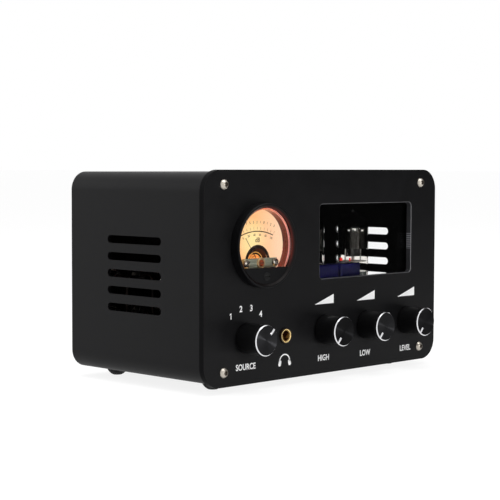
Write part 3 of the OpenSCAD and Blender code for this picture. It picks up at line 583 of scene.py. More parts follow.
@finish
def milled_wall(vector, middle):
    """Wall of the window with a row of cutter marks below its middle."""
    wave = add(vector, "TexWave", bands_direction="Z")
    put(wave, Vector=vector, Scale=240.0)
    row = middle - Vector((0, 0, 0.0023))
    away = axes(vectors("ABSOLUTE", vectors("SUBTRACT", vector, row)))["Z"]
    ticks = remap(away, 0.0044, 0.0050, wave.outputs["Fac"], 0.0)
    return dict(
        Base_Color=blended(ticks, (0.030, 0.030, 0.033, 1), (0.22, 0.22, 0.24, 1)),
        Roughness=remap(noise(vector, 900.0), 0.3, 0.7, 0.55, 0.70),
        Specular_IOR_Level=0.15,
    )


def front_panel():
    """Panel whose window wall, window edge and outer sides have finishes of their own."""
    low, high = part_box("window_pane")
    wall = milled_wall("Milled edge", (low + high) / 2)
    bright = drawn("Window edge", (0.24, 0.24, 0.25), 0.7, (0.45, 0.6))
    satin = grained("Panel satin black", colours().panel, 1.7, (0.46, 0.54), 2600.0, 0.22, 0.00003, spec=0.13)
    sides = grained("Panel edge black", colours().panel, 1.2, (0.46, 0.54), 2600.0, 0.2, 0.00003, spec=0.03)

    def by_window(spot):
        return low.x < spot.x < high.x and low.z < spot.z < high.z

    def cut(face):
        if abs(face.normal.y) > 0.97:
            return 0
        if by_window(face.calc_center_median()):
            return 2 if face.normal.y < -0.1 else 1
        return 3 if abs(face.normal.y) < 0.3 else 0

    def front_edge(line):
        spot = (line.verts[0].co + line.verts[1].co) / 2
        return by_window(spot) and spot.y < PANEL_LOW.y + 0.0001

    refined(
        "front_panel", [satin, wall, bright, sides], sizes().panel_edge, 3,
        mark=cut, wide=(front_edge, 0.0007),
    )


def screws(panel):
    """Screws of a panel, with fuller domes outside it."""
    piece = refined(f"{panel}_screws", screw_plating_and_socket_shade("Screw plating"), 0.00012)
    low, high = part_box(f"{panel}_panel")
    fuller = 0.3
    for vert in piece.data.vertices:
        for face, side in ((low.y, -1), (high.y, 1)):
            out = side * (vert.co.y - face)
            if out > 0:
                vert.co.y += side * out * fuller


class PREAMP_OT_case(bpy.types.Operator):
    """Front panel, slotted case, rear panel, screws and feet"""

    bl_idname = "preamp.case"
    bl_label = "Case"

    def execute(self, context):
        black = colours().case
        satin = grained("Housing satin black", black, 1.6, (0.47, 0.52), 1900.0, 0.25, 0.00003, spec=0.11)
        # painted shade: the inner faces of the case get a darker, duller black than the outside
        inside_shade = grained("Housing inside", (0.0014, 0.0014, 0.0016), 1.5, (0.7, 0.8), 1900.0, spec=0.03)
        rubber = grained("Rubber", (0.012, 0.012, 0.012), 1.8, (0.75, 0.9), 2200.0, 0.4, 0.00006, spec=0.3)
        edge, axis = sizes().slot_edge, centre("case_shell")

        def inside(face):
            return face.normal.xz.dot((face.calc_center_median() - axis).xz) < -0.03

        front_panel()
        refined("case_shell", [satin, inside_shade], edge, mark=inside)
        refined("rear_panel", satin, edge)
        screws("front")
        screws("rear")
        refined("feet", rubber, 0.0003)
        return {"FINISHED"}


class PREAMP_OT_window(bpy.types.Operator):
    """Clear pane and its seal"""

    bl_idname = "preamp.window"
    bl_label = "Window"

    def execute(self, context):
        refined("window_pane", clear_glass("Clear pane", (0.97, 0.98, 0.98), 1.3), 0.00015)
        seal = grained("Seal rubber", (0.004, 0.004, 0.004), 1.5, (0.8, 0.9), 2200.0, 0.3, spec=0.06)
        dress(seal, "window_gasket")
        return {"FINISHED"}


# Knobs


@finish
def knob_face(vector, middle, painted_sheen):
    """Turned face whose gloss fans out from its middle, its colour scaled per knob by a painted sheen."""
    offset, black = vectors("SUBTRACT", vector, middle), colours().knob
    marks = add(vector, "Group", node_tree=pattern(rings))
    # painted sheen: the face's colour is brightened or dimmed per knob
    put(marks, Vector=offset, Base=shade(black, 1.6 * painted_sheen), Tint=shade(black, 3.4 * painted_sheen), Pitch=9000.0)
    outward = add(
        vector, "VectorTransform", offset, vector_type="VECTOR", convert_from="OBJECT", convert_to="WORLD"
    )
    return dict(
        Base_Color=marks.outputs["Colour"], Normal=bumped(marks.outputs["Height"], 0.12, 0.00001),
        Tangent=outward.outputs[0], Metallic=1.0, Roughness=0.40, Anisotropic=1.0,
    )


def knob(name, pointer, painted_sheen):
    """Hollow turned knob: dished face, bright cut, side with a groove, and a pointer at an angle."""
    low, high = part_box(f"{name}_knob")
    middle = Vector(((low.x + high.x) / 2, low.y, (low.z + high.z) / 2))
    radius, cut, depth = sizes().knob_radius, sizes().knob_cut, high.y - low.y
    face, groove, bore, bottom = radius - cut, radius - 0.00028, 0.0066, depth - 0.0048
    black = shade(colours().knob, 0.55)[:3]
    side = grained("Knob anodised", black, 1.25, (0.42, 0.46), 2400.0, 0.05, spec=0.08)
    bm = bmesh.new()
    spun(bm, [(0, 0.00016), (face * 0.6, 0.0001), (face - 0.0002, 0.00002), (face, 0)], middle, 128, 1)
    spun(bm, [(face, 0), (radius, cut)], middle, 128, 2)
    outside = [
        (radius, cut), (radius, cut + 0.0008), (groove, cut + 0.001), (groove, cut + 0.0013),
        (radius, cut + 0.0015), (radius, depth - 0.0005), (radius - 0.00015, depth - 0.00015),
        (radius - 0.0005, depth), (bore, depth), (bore, bottom), (0, bottom),
    ]
    spun(bm, outside, middle, 128, 0)
    close(bm)
    turn = shift(middle) @ turned(pointer, "Y")
    block(bm, (-0.0007, 0, radius - 0.0041), (0.0007, 0.00045, radius - 0.0002), 0.00012, 2, 2, turn)
    bright = drawn("Bright cut aluminium", colours().cut_metal, 0.9, (0.18, 0.26))
    finishes = [side, knob_face(f"{name.title()} knob face", middle, painted_sheen), bright]
    settle(f"{name}_knob_turned", bm, finishes, f"{name}_control", (f"{name}_knob",), 30.0)


class PREAMP_OT_knobs(bpy.types.Operator):
    """Turned knobs with a bright cut edge and a pointer line"""

    bl_idname = "preamp.knobs"
    bl_label = "Knobs"

    def execute(self, context):
        shaft = drawn("Shaft aluminium", (0.6, 0.6, 0.62), 0.85, (0.3, 0.4))
        body = drawn("Control body steel", (0.3, 0.3, 0.32), 0.8, (0.35, 0.5))
        # third column: painted sheen, a per-knob factor that brightens or dims the face's colour
        rows = (
            ("input", 45, 1.7, "input_switch"), ("treble", -140, 0.6, "treble_pot"),
            ("bass", -140, 1.3, "bass_pot"), ("volume", -140, 0.6, "volume_pot"),
        )
        for name, pointer, painted_sheen, control in rows:
            knob(name, pointer, painted_sheen)
            dress(shaft, f"{name}_shaft")
            dress(body, control)
        dress(nickel(), "control_nuts")
        return {"FINISHED"}


# Meter


@finish
def lit_dial(vector, middle):
    """Paper lit from the left, brightest near the middle and pink towards the right."""
    core, warm, pink = (shade(c) for c in (colours().lamp_core, colours().lamp_warm, colours().lamp_pink))
    away = remap(vectors("DISTANCE", vector, middle + Vector((-0.004, 0, 0.003))), 0.003, 0.0145)
    right = remap(axes(vector)["X"], middle.x - 0.002, middle.x + 0.018)
    lit = blended(right, blended(away, core, warm), pink)
    paper = noise(vector, 1500.0)
    return dict(
        Emission_Color=blended(maths("MULTIPLY", paper, 0.12), lit, shade(colours().lamp_warm, 0.8)),
        Base_Color=blended(paper, (0.10, 0.08, 0.06, 1), (0.13, 0.10, 0.07, 1)),
        Emission_Strength=1.03, Roughness=0.7, Specular_IOR_Level=0.1,
    )


@finish
def lens_skirt_painted_highlight(vector, front, level):
    """Red-tinted acrylic whose tint is painted reflection of the dial, with a painted highlight glowing along
    the corner where the skirt meets the disc.
    """
    place = axes(vector)
    upper = remap(place["Z"], level - 0.013, level - 0.007)
    near = remap(place["Y"], front + 0.0002, front + 0.0008, upper, 0.0)
    # painted highlight: pink emission in a band near the disc, above the chin only
    glow = blended(near, BLACK, (0.60, 0.29, 0.28, 1))
    return clear_glass.inputs(vector, (0.85, 0.18, 0.12)) | dict(Emission_Color=glow, Emission_Strength=1.0)


@finish
def rim_lip_painted_reflection(vector, middle):
    """Black lip with a painted red reflection near the lens, above the chin only."""
    offset = vectors("SUBTRACT", vector, middle)
    upper = remap(axes(offset)["Z"], -0.013, -0.007)
    near = remap(radial(offset), 0.0206, 0.0217, upper, 0.0)
    # painted reflection: dark red emission on the lip near the lens
    glow = blended(near, BLACK, (0.08, 0.010, 0.006, 1))
    return grained.inputs(
        vector, (0.004, 0.003, 0.003), 1.5, (0.3, 0.4), 2000.0, 0.06, spec=0.1,
        Emission_Color=glow, Emission_Strength=1.0,
    )


def scale_print(pivot):
    """Arc, ticks and numbers of the scale, on a flatter bow than the needle's swing."""
    bow, half, size = 0.0357, 0.00028, sizes().dial_digit_size
    low = FRONT @ shift((-0.0009, -0.0183, 0))
    marks = [
        (flat(arc_strip(bow - half, bow + half, 68.5, 113.0)), low),
        (text("dB", size * 1.8), FRONT @ shift((0, 0.0125, 0))),
        (flat(arc_strip(0.0079, 0.0099, -2, 182)), FRONT),
        (flat(rectangle(-0.0145, -0.0075, 0.0145, -0.0008)), FRONT),
    ]
    for i in range(11):
        tick = flat(rectangle(-0.0001, 0.0008, 0.0001, 0.0024))
        marks.append((tick, low @ turned(20 - 4.2 * i, "Z") @ shift((0, bow, 0))))
    rows = (
        ("20 10 7 5 3 2 1 0 1 2 3", size, 19, 3.9, bow + 0.0050),
        ("0 20 40 60 80 100", size * 0.85, 18, 7.6, bow - 0.0020),
    )
    for words, height, first, step, reach in rows:
        for i, word in enumerate(words.split()):
            marks.append((text(word, height), low @ turned(first - step * i, "Z") @ shift((0, reach, 0))))
    ink = grained("Dial ink", (0.010, 0.006, 0.004), 1.6, (0.7, 0.8), 1500.0, 0.05, 0.00001, spec=0.1)
    gather("dial_print", marks, ink, pivot)


def hairspring(depth):
    """Flat spiral of round wire about the Y axis, four turns."""
    turns, points, inner, growth = 4, 120, 0.0013, 0.0056
    data = bpy.data.curves.new("spring", "CURVE")
    data.dimensions = "3D"
    data.bevel_depth, data.bevel_resolution, data.use_fill_caps = 0.00013, 2, True
    line = data.splines.new("POLY")
    line.points.add(points)
    for i, point in enumerate(line.points):
        angle, radius = i * 2 * math.pi * turns / points, inner + growth * i / points
        point.co = (radius * math.cos(angle), depth, radius * math.sin(angle), 1)
    return curve_mesh(data)


def needle(pivot):
    """Thin blade with its hub, counterweight, coil and hairspring, turning as one."""
    turn = shift(pivot) @ turned(-36, "Y")
    blade, coil, spiral = (at(0, depth, 0).y for depth in (2.2, 6.5, 4.6))
    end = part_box("meter_needle")[1].y - 0.002
    dark = grained("Needle black", (0.02, 0.008, 0.006), 1.5, (0.4, 0.5), 1500.0, 0.05)
    # painted light: coil and spring give off orange light of their own, standing for the meter lamps' light
    # on them
    copper = drawn(
        "Coil copper", (0.80, 0.27, 0.08), 0.7, (0.3, 0.45),
        Metallic=0.55, Emission_Color=(0.80, 0.20, 0.04, 1), Emission_Strength=0.6,
    )
    bronze_painted_lamplight = drawn(
        "Spring bronze", (0.95, 0.55, 0.18), 0.7, (0.2, 0.3),
        Metallic=0.6, Emission_Color=(1.0, 0.52, 0.12, 1), Emission_Strength=1.0,
    )
    bm = bmesh.new()
    block(bm, (-0.00015, blade, -0.0036), (0.00015, blade + 0.0002, 0.0172), 0.00004, 1, 0, turn)
    block(bm, (-0.0007, blade, -0.0040), (0.0007, blade + 0.0004, -0.0022), 0.0001, 1, 0, turn)
    hub = [(0, blade - 0.0002), (0.0010, blade - 0.0002), (0.0012, blade), (0.0012, end), (0, end)]
    spun(bm, hub, pivot, 24, 0)
    for low_x, high_x, low_y, high_y in (
        (-0.0054, -0.0043, 0.0, 0.009), (0.0043, 0.0054, 0.0, 0.009),
        (-0.0043, 0.0043, 0.0, 0.0011), (-0.0043, 0.0043, 0.0079, 0.009),
    ):
        block(bm, (low_x, coil + low_y, -0.0012), (high_x, coil + high_y, 0.0012), 0.0002, 2, 1, turn)
    joined(bm, hairspring(spiral), shift(pivot), 2)
    settle("meter_needle_works", bm, [dark, copper, bronze_painted_lamplight], "needle", ("meter_needle",))


def pivot_cap(front):
    """Slotted copper jewel in a brass ring on the bridge."""
    bm = bmesh.new()
    jewel = [(0, -0.0011), (0.0014, -0.0011), (0.0018, -0.0008), (0.0018, 0.0001), (0, 0.0001)]
    ring = [(0.0020, -0.0007), (0.0028, -0.0007), (0.0031, -0.0004), (0.0031, 0.0001), (0.0020, 0.0001)]
    spun(bm, jewel, front, 40, 0)
    spun(bm, ring + ring[:1], front, 48, 1)
    block(bm, (-0.0015, -0.00115, -0.0002), (0.0015, -0.00105, 0.0002), 0, 1, 2, shift(front))
    copper = drawn("Pivot copper", (0.42, 0.09, 0.04), 0.7, (0.2, 0.35))
    brass = drawn("Pivot brass", (0.55, 0.40, 0.22), 0.8, (0.2, 0.35))
    settle("meter_pivot_cap", bm, [copper, brass, plastic_black()])


def bridge_screws(front):
    """Two slotted screws at the ends of the bridge."""
    bm = bmesh.new()
    dome = [(0, -0.0014), (0.0014, -0.0013), (0.0021, -0.0008), (0.0023, 0.0), (0, 0.0)]
    for side in (-1, 1):
        head = front + Vector((side * 0.0113, 0, 0))
        spun(bm, dome, head, 40, 0)
        turn = shift(head) @ turned(35 * side, "Y")
        block(bm, (-0.0019, -0.00142, -0.00025), (0.0019, -0.0011, 0.00025), 0, 1, 1, turn)
    steel = drawn("Bridge screw steel", (0.30, 0.29, 0.26), 0.6, (0.22, 0.34))
    settle("meter_bridge_screws", bm, [steel, plastic_black()])


def meter_shell(middle):
    """Rim, lens, cup and dial."""
    behind_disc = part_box("meter_lens")[0].y + 0.0017
    satin = grained("Meter black", colours().panel, 1.5, (0.42, 0.52), 2000.0, 0.06, spec=0.1)
    # painted reflection: the cup's inner faces are glossy dark red, standing for the dial's warm light
    # reflected in black plastic
    cup = grained("Meter cup", (0.11, 0.008, 0.005), 1.5, (0.12, 0.2), 900.0, 0.05, spec=0.6)
    acrylic = clear_glass("Lens acrylic", (1.0, 0.97, 0.95))

    def reach(face):
        return (face.calc_center_median() - middle).xz.length

    def lip(face):
        return -0.95 < face.normal.y < -0.3 and reach(face) < 0.0223

    def skirt(face):
        return face.calc_center_median().y > behind_disc

    def outside(face):
        return reach(face) >= 0.0209

    refined("meter_rim", [satin, rim_lip_painted_reflection("Rim lip", middle)], 0.0002, 3, mark=lip)
    clear = [acrylic, lens_skirt_painted_highlight("Lens skirt", behind_disc, middle.z)]
    refined("meter_lens", clear, 0.0001, mark=skirt).visible_shadow = False
    refined("meter_case", [cup, satin], 0.0, mark=outside)
    refined("meter_dial", lit_dial("Lit dial", middle), 0.0)


class PREAMP_OT_meter(bpy.types.Operator):
    """Level meter: rim, lens, lit dial with its print, needle and movement"""

    bl_idname = "preamp.meter"
    bl_label = "Meter"

    def execute(self, context):
        meter_shell(centre("meter_rim"))
        pivot = centre("meter_bridge")
        scale_print(Vector((pivot.x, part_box("meter_dial")[0].y - sizes().print_lift, pivot.z)))
        olive = drawn("Bridge metal", (0.36, 0.40, 0.32), 0.75, (0.28, 0.45))
        refined("meter_bridge", olive)
        front = Vector((pivot.x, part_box("meter_bridge")[0].y, pivot.z))
        pivot_cap(front)
        bridge_screws(front)
        dress(drawn("Magnet steel", (0.07, 0.03, 0.018), 0.7, (0.35, 0.5)), "meter_magnet")
        needle(Vector((pivot.x, 0, pivot.z)))
        moulded = grained("Zero screw black", (0.005, 0.005, 0.005), 1.5, (0.4, 0.5), spec=0.16)
        screw = refined("meter_zero_screw", moulded, 0.0001, body="zero_adjuster")
        axis, wider = shift(centre("meter_zero_screw")), Matrix.Diagonal((1.12, 1, 1.12, 1))
        screw.data.transform(axis @ wider @ axis.inverted())
        dress(glowing("Lamp glow", (1, 0.7, 0.4), (1.0, 0.55, 0.18), 5.0), "meter_lamps")
        dress(plastic_black(), "meter_clamp_ring")
        return {"FINISHED"}


# Printed marks


def words_at(rows, size, face, side=1):
    """Words with their places in millimetres on the front or, seen from behind, the back."""
    return [(text(word, size, 0.03), face @ shift((side * x * MM, z * MM, 0))) for word, x, z in rows]


def figure_one(size):
    """Figure one with a flag."""
    stem = [(0.02, -0.5), (0.17, -0.5), (0.17, 0.5), (0.05, 0.5), (-0.2, 0.3), (-0.2, 0.15), (0.02, 0.3)]
    return flat([(x * size, y * size) for x, y in stem])


def headphone_symbol():
    """Bow with two leaning cups."""
    place = FRONT @ shift((-0.037, 0.0098, 0)) @ Matrix.Diagonal((0.88, 0.86, 1, 1))
    marks = [(flat(arc_strip(0.0043, 0.0051, 0, 180)), place)]
    for side in (-1, 1):
        cup = flat(rounded_points(0.0024, 0.0039, 0.0011, 6))
        marks.append((cup, place @ shift((side * 0.0045, -0.0009, 0)) @ turned(14 * side, "Z")))
    return marks


def front_print():
    digit, word = sizes().digit_size, sizes().word_size
    marks = [(figure_one(digit), FRONT @ shift((-79.9 * MM, 38.2 * MM, 0)))]
    marks += words_at((("2", -72.0, 41.6), ("3", -63.9, 41.6), ("4", -56.5, 37.9)), digit, FRONT)
    names = (("SOURCE", -68.1, 9.6), ("HIGH", -4.2, 8.9), ("LOW", 33.0, 8.5), ("LEVEL", 71.2, 8.2))
    narrow = Matrix.Diagonal((0.86, 1, 1, 1))
    marks += [(mesh, turn @ narrow) for mesh, turn in words_at(names, word, FRONT)]
    for x in (-3.8, 33.4, 71.5):
        wedge = flat([(-0.0082, -0.0026), (0.0082, -0.0026), (0.0082, 0.0027)])
        marks.append((wedge, FRONT @ shift((x * MM, 42.8 * MM, 0))))
    marks += headphone_symbol()
    gather("panel_print", marks, white_print(), at(0, 0, 0) - Vector((0, sizes().print_lift, 0)))


def rear_print():
    names = (
        ("1", -72, 66), ("2", -52, 66), ("3", -32, 66), ("4", -12, 66), ("OUT", 14, 66), ("IN", -42, 73),
        ("L", -82, 54), ("R", -82, 32), ("DC", 44, 55.5), ("POWER", 72, 59),
    )
    marks = words_at(names, 0.0034, BACK, -1)
    marks.append((flat(rectangle(-0.034, -0.0002, 0.034, 0.0002)), BACK @ shift((42 * MM, 70 * MM, 0))))
    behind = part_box("rear_panel")[1].y + sizes().print_lift
    gather("rear_print", marks, white_print(), Vector((0, behind, PANEL_LOW.z)))


def rocker_print():
    """Bar for on and ring for off, each on its sloping half of the rocker."""
    tilt, slope, out, half = 9, 11.9, 0.0052, 0.0038
    bar = flat(rectangle(-0.0003, -0.0018, 0.0003, 0.0018))
    ring = flat(arc_points(0, 0, 0.0018), arc_points(0, 0, 0.0013))
    lift = shift((0, sizes().print_lift, 0))
    marks = []
    for side, mesh in ((1, bar), (-1, ring)):
        face = shift((0, out, side * half)) @ turned(-side * slope, "X")
        marks.append((mesh, turned(tilt, "X") @ face @ lift @ BACK))
    pin = Vector((at(72, 0, 0).x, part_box("rear_panel")[1].y - 0.001, at(0, 0, 43).z))
    gather("rocker_print", marks, white_print(), pin, "rocker")


class PREAMP_OT_marks(bpy.types.Operator):
    """White print on the front panel, the back and the rocker"""

    bl_idname = "preamp.marks"
    bl_label = "Print"

    def execute(self, context):
        front_print()
        rear_print()
        rocker_print()
        return {"FINISHED"}


# Tubes


@finish
def cage_nickel(vector, seat):
    """Nickel rods between pale mica discs, at the discs' heights above the seat."""
    height = axes(vector)["Z"]
    lower, upper = (maths("COMPARE", height, seat + disc, 0.00026) for disc in (0.0092, 0.0272))
    mica, speck = maths("ADD", lower, upper), noise(vector, 1200.0)
    pale = blended(speck, (0.42, 0.38, 0.32, 1), (0.60, 0.56, 0.50, 1))
    metal = blended(speck, (0.42, 0.41, 0.40, 1), (0.58, 0.57, 0.55, 1))
    return dict(Base_Color=blended(mica, metal, pale), Metallic=remap(mica, 0, 1, 1.0, 0.0), Roughness=0.35)


@finish
def bulb_glass(vector, dome):
    """Clear glass that darkens in the dome, where the film lies behind it."""
    given = clear_glass.inputs(vector, (0.97, 0.95, 0.92), 1.15, (0.0, 0.01))
    upper = remap(axes(vector)["Z"], dome - 0.0002, dome + 0.0012)
    return given | dict(Base_Color=blended(upper, given["Base_Color"], (0.03, 0.03, 0.03, 1)))


@finish
def getter_mirror(vector):
    """Dark mirror with upright streaks."""
    lines = noise(vectors("MULTIPLY", vector, (1700.0, 1700.0, 60.0)), 1.0, 2.0)
    tone = blended(remap(lines, 0.35, 0.65), (0.016, 0.015, 0.014, 1), (0.060, 0.057, 0.053, 1))
    return dict(Base_Color=tone, Metallic=1.0, Roughness=0.34)


def getter(side, seat, skin, dome):
    """Mirror film in the top of the glass, with clear patches above the upper disc, placed by the view."""
    bm = bmesh.new()
    rows = [(skin, dome - below) for below in (0.0125, 0.0030, 0.0020, 0.0008, 0.0001)]
    spun(bm, rows + arc_points(0, dome, skin, 0, 90, 16), seat, 128, 0, "Z")
    view_x, view_y = 0.761, 0.649  # level direction of the view
    # Middle and half width across the view, and how far below the dome a patch on the near side starts
    patches = ((0.00115, 0.0018, 0.0), (-0.00255, 0.0008, 0.0008), (0.0056, 0.0007, 0.0008))
    gone = set()
    for face in bm.faces:
        spot = face.calc_center_median() - seat
        across, below = view_y * spot.x - view_x * spot.y, dome - spot.z
        far = view_x * spot.x + view_y * spot.y > 0
        for middle, half, top in patches:
            if abs(across - middle) < half and (0 if far else top) < below < (0.003 if far else 0.002):
                gone.add(face)
    bmesh.ops.delete(bm, geom=list(gone), context="FACES")
    thicken(bm, GETTER)
    settle(f"tube_{side}_getter", bm, getter_mirror("Getter mirror"))


def bulb(side, seat, radius, hollow, total, dome):
    """Blown glass with a drawn tip."""
    tip = [(0.0015, total - 0.0021), (0.0009, total - 0.0012), (0.0005, total - 0.0002), (0, total)]
    bm = bmesh.new()
    spun(bm, [(radius, 0)] + arc_points(0, dome, radius, 0, 78, 14) + tip, seat, 64, 0, "Z")
    inside = arc_points(0, dome, hollow, 90, 0, 16) + [(hollow, 0), (radius, 0)]
    spun(bm, inside, seat, 64, 0, "Z")
    close(bm)
    glass = bulb_glass("Tube glass", seat.z + dome)
    piece = settle(f"tube_{side}_bulb", bm, glass, "chassis", (f"tube_{side}_glass",))
    piece.visible_shadow = False


def heater(side, seat):
    """Glowing ends of the heater above the lower disc."""
    bm = bmesh.new()
    for x, y, thick in ((-0.0061, 0.0042, 0.0008), (-0.0029, 0.0, 0.0005)):
        rod = [(0, 0.0093), (thick, 0.0093), (thick, 0.0109), (0, 0.0113)]
        spun(bm, rod, seat + Vector((x, y, 0)), 16, 0, "Z")
    settle(f"tube_{side}_heater", bm, glowing("Heater glow", (0.3, 0.05, 0.02), (1.0, 0.03, 0.02), 0.9))


def anode(side, seat, top):
    """Pressed plate: rounded tube with a fin and five ribs on each side."""
    bottom, ribs = 0.0121, 5
    step = (top - bottom - 0.0028) / (ribs - 1)
    grey = (0.045, 0.045, 0.047)
    plate = grained("Plate carbon grey", grey, 1.6, (0.4, 0.55), 2400.0, 0.2, 0.00003, Metallic=0.7)
    bm = bmesh.new()
    shell = [rounded_points(0.0096, 0.007, 0.0031, 10), rounded_points(0.0086, 0.006, 0.0026, 10)]
    joined(bm, outline_mesh(shell, top - bottom), shift(seat + Vector((0, 0, (bottom + top) / 2))))
    for turn in (-1, 1):
        block(bm, (turn * 0.0063, -0.0006, bottom), (turn * 0.0047, 0.0006, top), 0.0001, 1, 0, shift(seat))
        for row in range(ribs):
            z = bottom + 0.0014 + row * step
            low, high = (-0.0032, turn * 0.0034, z - 0.0003), (0.0032, turn * 0.0038, z + 0.0003)
            block(bm, low, high, 0.00015, 1, 0, shift(seat))
    settle(f"tube_{side}_anode", bm, plate, "chassis", (f"tube_{side}_plate",))


def tube(side):
    """One tube: bulb, film, heater and anode, and the finishes of its cage and stem."""
    low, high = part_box(f"tube_{side}_glass")
    seat = Vector(((low.x + high.x) / 2, (low.y + high.y) / 2, low.z))
    radius, total = (high.x - low.x) / 2, high.z - low.z
    hollow, dome = radius - 0.0005, total - 0.0025 - radius
    bulb(side, seat, radius, hollow, total, dome)
    getter(side, seat, hollow - GETTER, dome)
    heater(side, seat)
    anode(side, seat, total - 0.0145)
    dress(cage_nickel("Cage nickel and mica", seat.z), f"tube_{side}_cage")
    dress(grained("Stem glass", (0.28, 0.31, 0.31), 1.3, (0.08, 0.15), 600.0, 0.05), f"tube_{side}_stem")


class PREAMP_OT_tubes(bpy.types.Operator):
    """Glass tubes with their inner works, sockets and heater glow"""

    bl_idname = "preamp.tubes"
    bl_label = "Tubes"

    def execute(self, context):
        tube("left")
        tube("right")
        ceramic = grained("Socket ceramic", (0.60, 0.57, 0.50), 0.9, (0.3, 0.42), 1200.0, 0.08)
        refined("tube_sockets", ceramic, 0.00025)
        return {"FINISHED"}


# Boards


@finish
def board_lacquer(vector):
    """Green lacquer over copper tracks and solder points."""
    plan = vectors("MULTIPLY", vector, (1.0, 1.0, 0.0))
    cells = add(vector, "TexVoronoi", distance="MANHATTAN", feature="DISTANCE_TO_EDGE")
    put(cells, Vector=plan, Scale=190.0)
    dots = add(vector, "TexVoronoi")
    put(dots, Vector=plan, Scale=260.0)
    track = remap(cells.outputs["Distance"], 0.05, 0.09, 1.0, 0.0)
    solder = remap(dots.outputs["Distance"], 0.12, 0.16, 1.0, 0.0)
    green = blended(track, shade(colours().board), shade(colours().board, 2.4))
    return dict(
        Base_Color=blended(solder, green, (0.45, 0.45, 0.44, 1)), Metallic=solder, Roughness=0.35,
        Normal=bumped(track, 0.3, 0.00004),
    )


@finish
def wire_insulation(vector):
    """Insulation in bands of brown, blue and black across the case."""
    ramp = add(vector, "ValToRGB", remap(axes(vector)["X"], -0.08, 0.08))
    ramp.color_ramp.interpolation = "CONSTANT"
    brown, blue, black = (0.035, 0.014, 0.008, 1), (0.010, 0.016, 0.05, 1), (0.012, 0.012, 0.012, 1)
    points = ramp.color_ramp.elements
    points[0].color = brown
    points[1].position, points[1].color = 0.2, blue
    for place, tone in ((0.4, brown), (0.5, black), (0.8, brown), (0.95, black)):
        points.new(place).color = tone
    worn = maths("MULTIPLY", noise(vector, 700.0), 0.25)
    return dict(Base_Color=blended(worn, ramp.outputs["Color"], (0.05, 0.05, 0.05, 1)), Roughness=0.45)


class PREAMP_OT_boards(bpy.types.Operator):
    """Circuit boards and what stands on them"""

    bl_idname = "preamp.boards"
    bl_label = "Boards"

    def execute(self, context):
        dress(board_lacquer("Board lacquer"), "main_board", "tube_board")
        dress(drawn("Standoff steel", (0.30, 0.29, 0.27), 0.8, (0.3, 0.45)), "board_standoffs")
        dress(nickel(), "board_screws")
        film = grained("Film capacitor blue", colours().film, 1.35, (0.18, 0.3), 500.0, 0.1, spec=0.3)
        refined("film_capacitors", film, 0.0012, 3)
        sleeve = grained("Capacitor sleeve", (0.012, 0.012, 0.016), 1.6, (0.2, 0.3), 700.0, 0.05)
        can = drawn("Capacitor top", (0.62, 0.62, 0.63), 0.85, (0.25, 0.35))

        def top(face):
            return face.normal.z > 0.95

        refined("electrolytic_capacitors", [sleeve, can], 0.0006, mark=top)
        dress(plastic_black(), "board_header")
        chips = grained("Chip moulding", (0.014, 0.014, 0.015), 1.6, (0.45, 0.6), 2600.0, 0.25, 0.00003)
        refined("signal_chips", chips, 0.0003)
        dress(wire_insulation("Wire insulation"), "internal_wires")
        return {"FINISHED"}


# Connectors


@finish
def ring_plastic(vector, level):
    """White rings in the upper row, red in the lower."""
    upper = remap(axes(vector)["Z"], level - 0.001, level + 0.001)
    fine = noise(vector, 1500.0)
    red = blended(fine, (0.36, 0.012, 0.010, 1), (0.48, 0.02, 0.015, 1))
    white = blended(fine, (0.66, 0.65, 0.62, 1), (0.74, 0.73, 0.70, 1))
    return dict(Base_Color=blended(upper, red, white), Roughness=0.35)


@finish
def collar_gold(vector):
    """Gold lip between a dark outer edge and a bore that goes dark past the lip as painted shade, with noise
    patches of bright brass.
    """
    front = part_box("jack_bushing")[0].y
    reach = radial(vectors("SUBTRACT", vector, centre("jack_bushing")))
    rim = remap(reach, 0.00372, 0.00382)
    # painted shade: past the lip the bore turns dark brass, broken by noise patches of bright brass
    painted_shade_depth = remap(axes(vector)["Y"], front + 0.0007, front + 0.0012)
    bore = remap(reach, 0.0032, 0.0033, painted_shade_depth, 0.0)
    bright_patches = remap(noise(vector, 520.0), 0.48, 0.60)
    gold = blended(noise(vector, 1400.0), (0.90, 0.62, 0.22, 1), (1.0, 0.76, 0.36, 1))
    brass = blended(bright_patches, (0.07, 0.015, 0.006, 1), (0.75, 0.40, 0.10, 1))
    lip = blended(rim, gold, (0.035, 0.022, 0.012, 1))
    return dict(Base_Color=blended(bore, lip, brass), Metallic=0.5, Roughness=0.34)


class PREAMP_OT_connectors(bpy.types.Operator):
    """Headphone jack, signal jacks, power inlet and power switch"""

    bl_idname = "preamp.connectors"
    bl_label = "Connectors"

    def execute(self, context):
        black = plastic_black()
        refined("jack_bushing", collar_gold("Collar gold"), 0.00025, 3)
        dress(black, "jack_body")
        dress(gold_plate(), "jack_contacts")
        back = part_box("rear_panel")[0].y
        tinned = drawn("Tinned brass", (0.16, 0.155, 0.15), 0.7, (0.4, 0.55))

        def within(face):
            return face.calc_center_median().y < back

        refined("rca_shells", [gold_plate(), tinned], 0.00022, mark=within)
        plastic = ring_plastic("Jack ring plastic", centre("rca_rings").z)
        refined("rca_rings", plastic)
        dress(grained("Core plastic", (0.62, 0.61, 0.58), 0.9, (0.3, 0.4), 1400.0, 0.05), "rca_cores")
        dress(nickel(), "rca_nuts", "dc_pin")
        refined("dc_inlet", black, 0.0003)
        refined("power_housing", black, 0.00025)
        refined("power_rocker", black, 0.0003, 3, 30.0, body="rocker")
        return {"FINISHED"}


# Stage


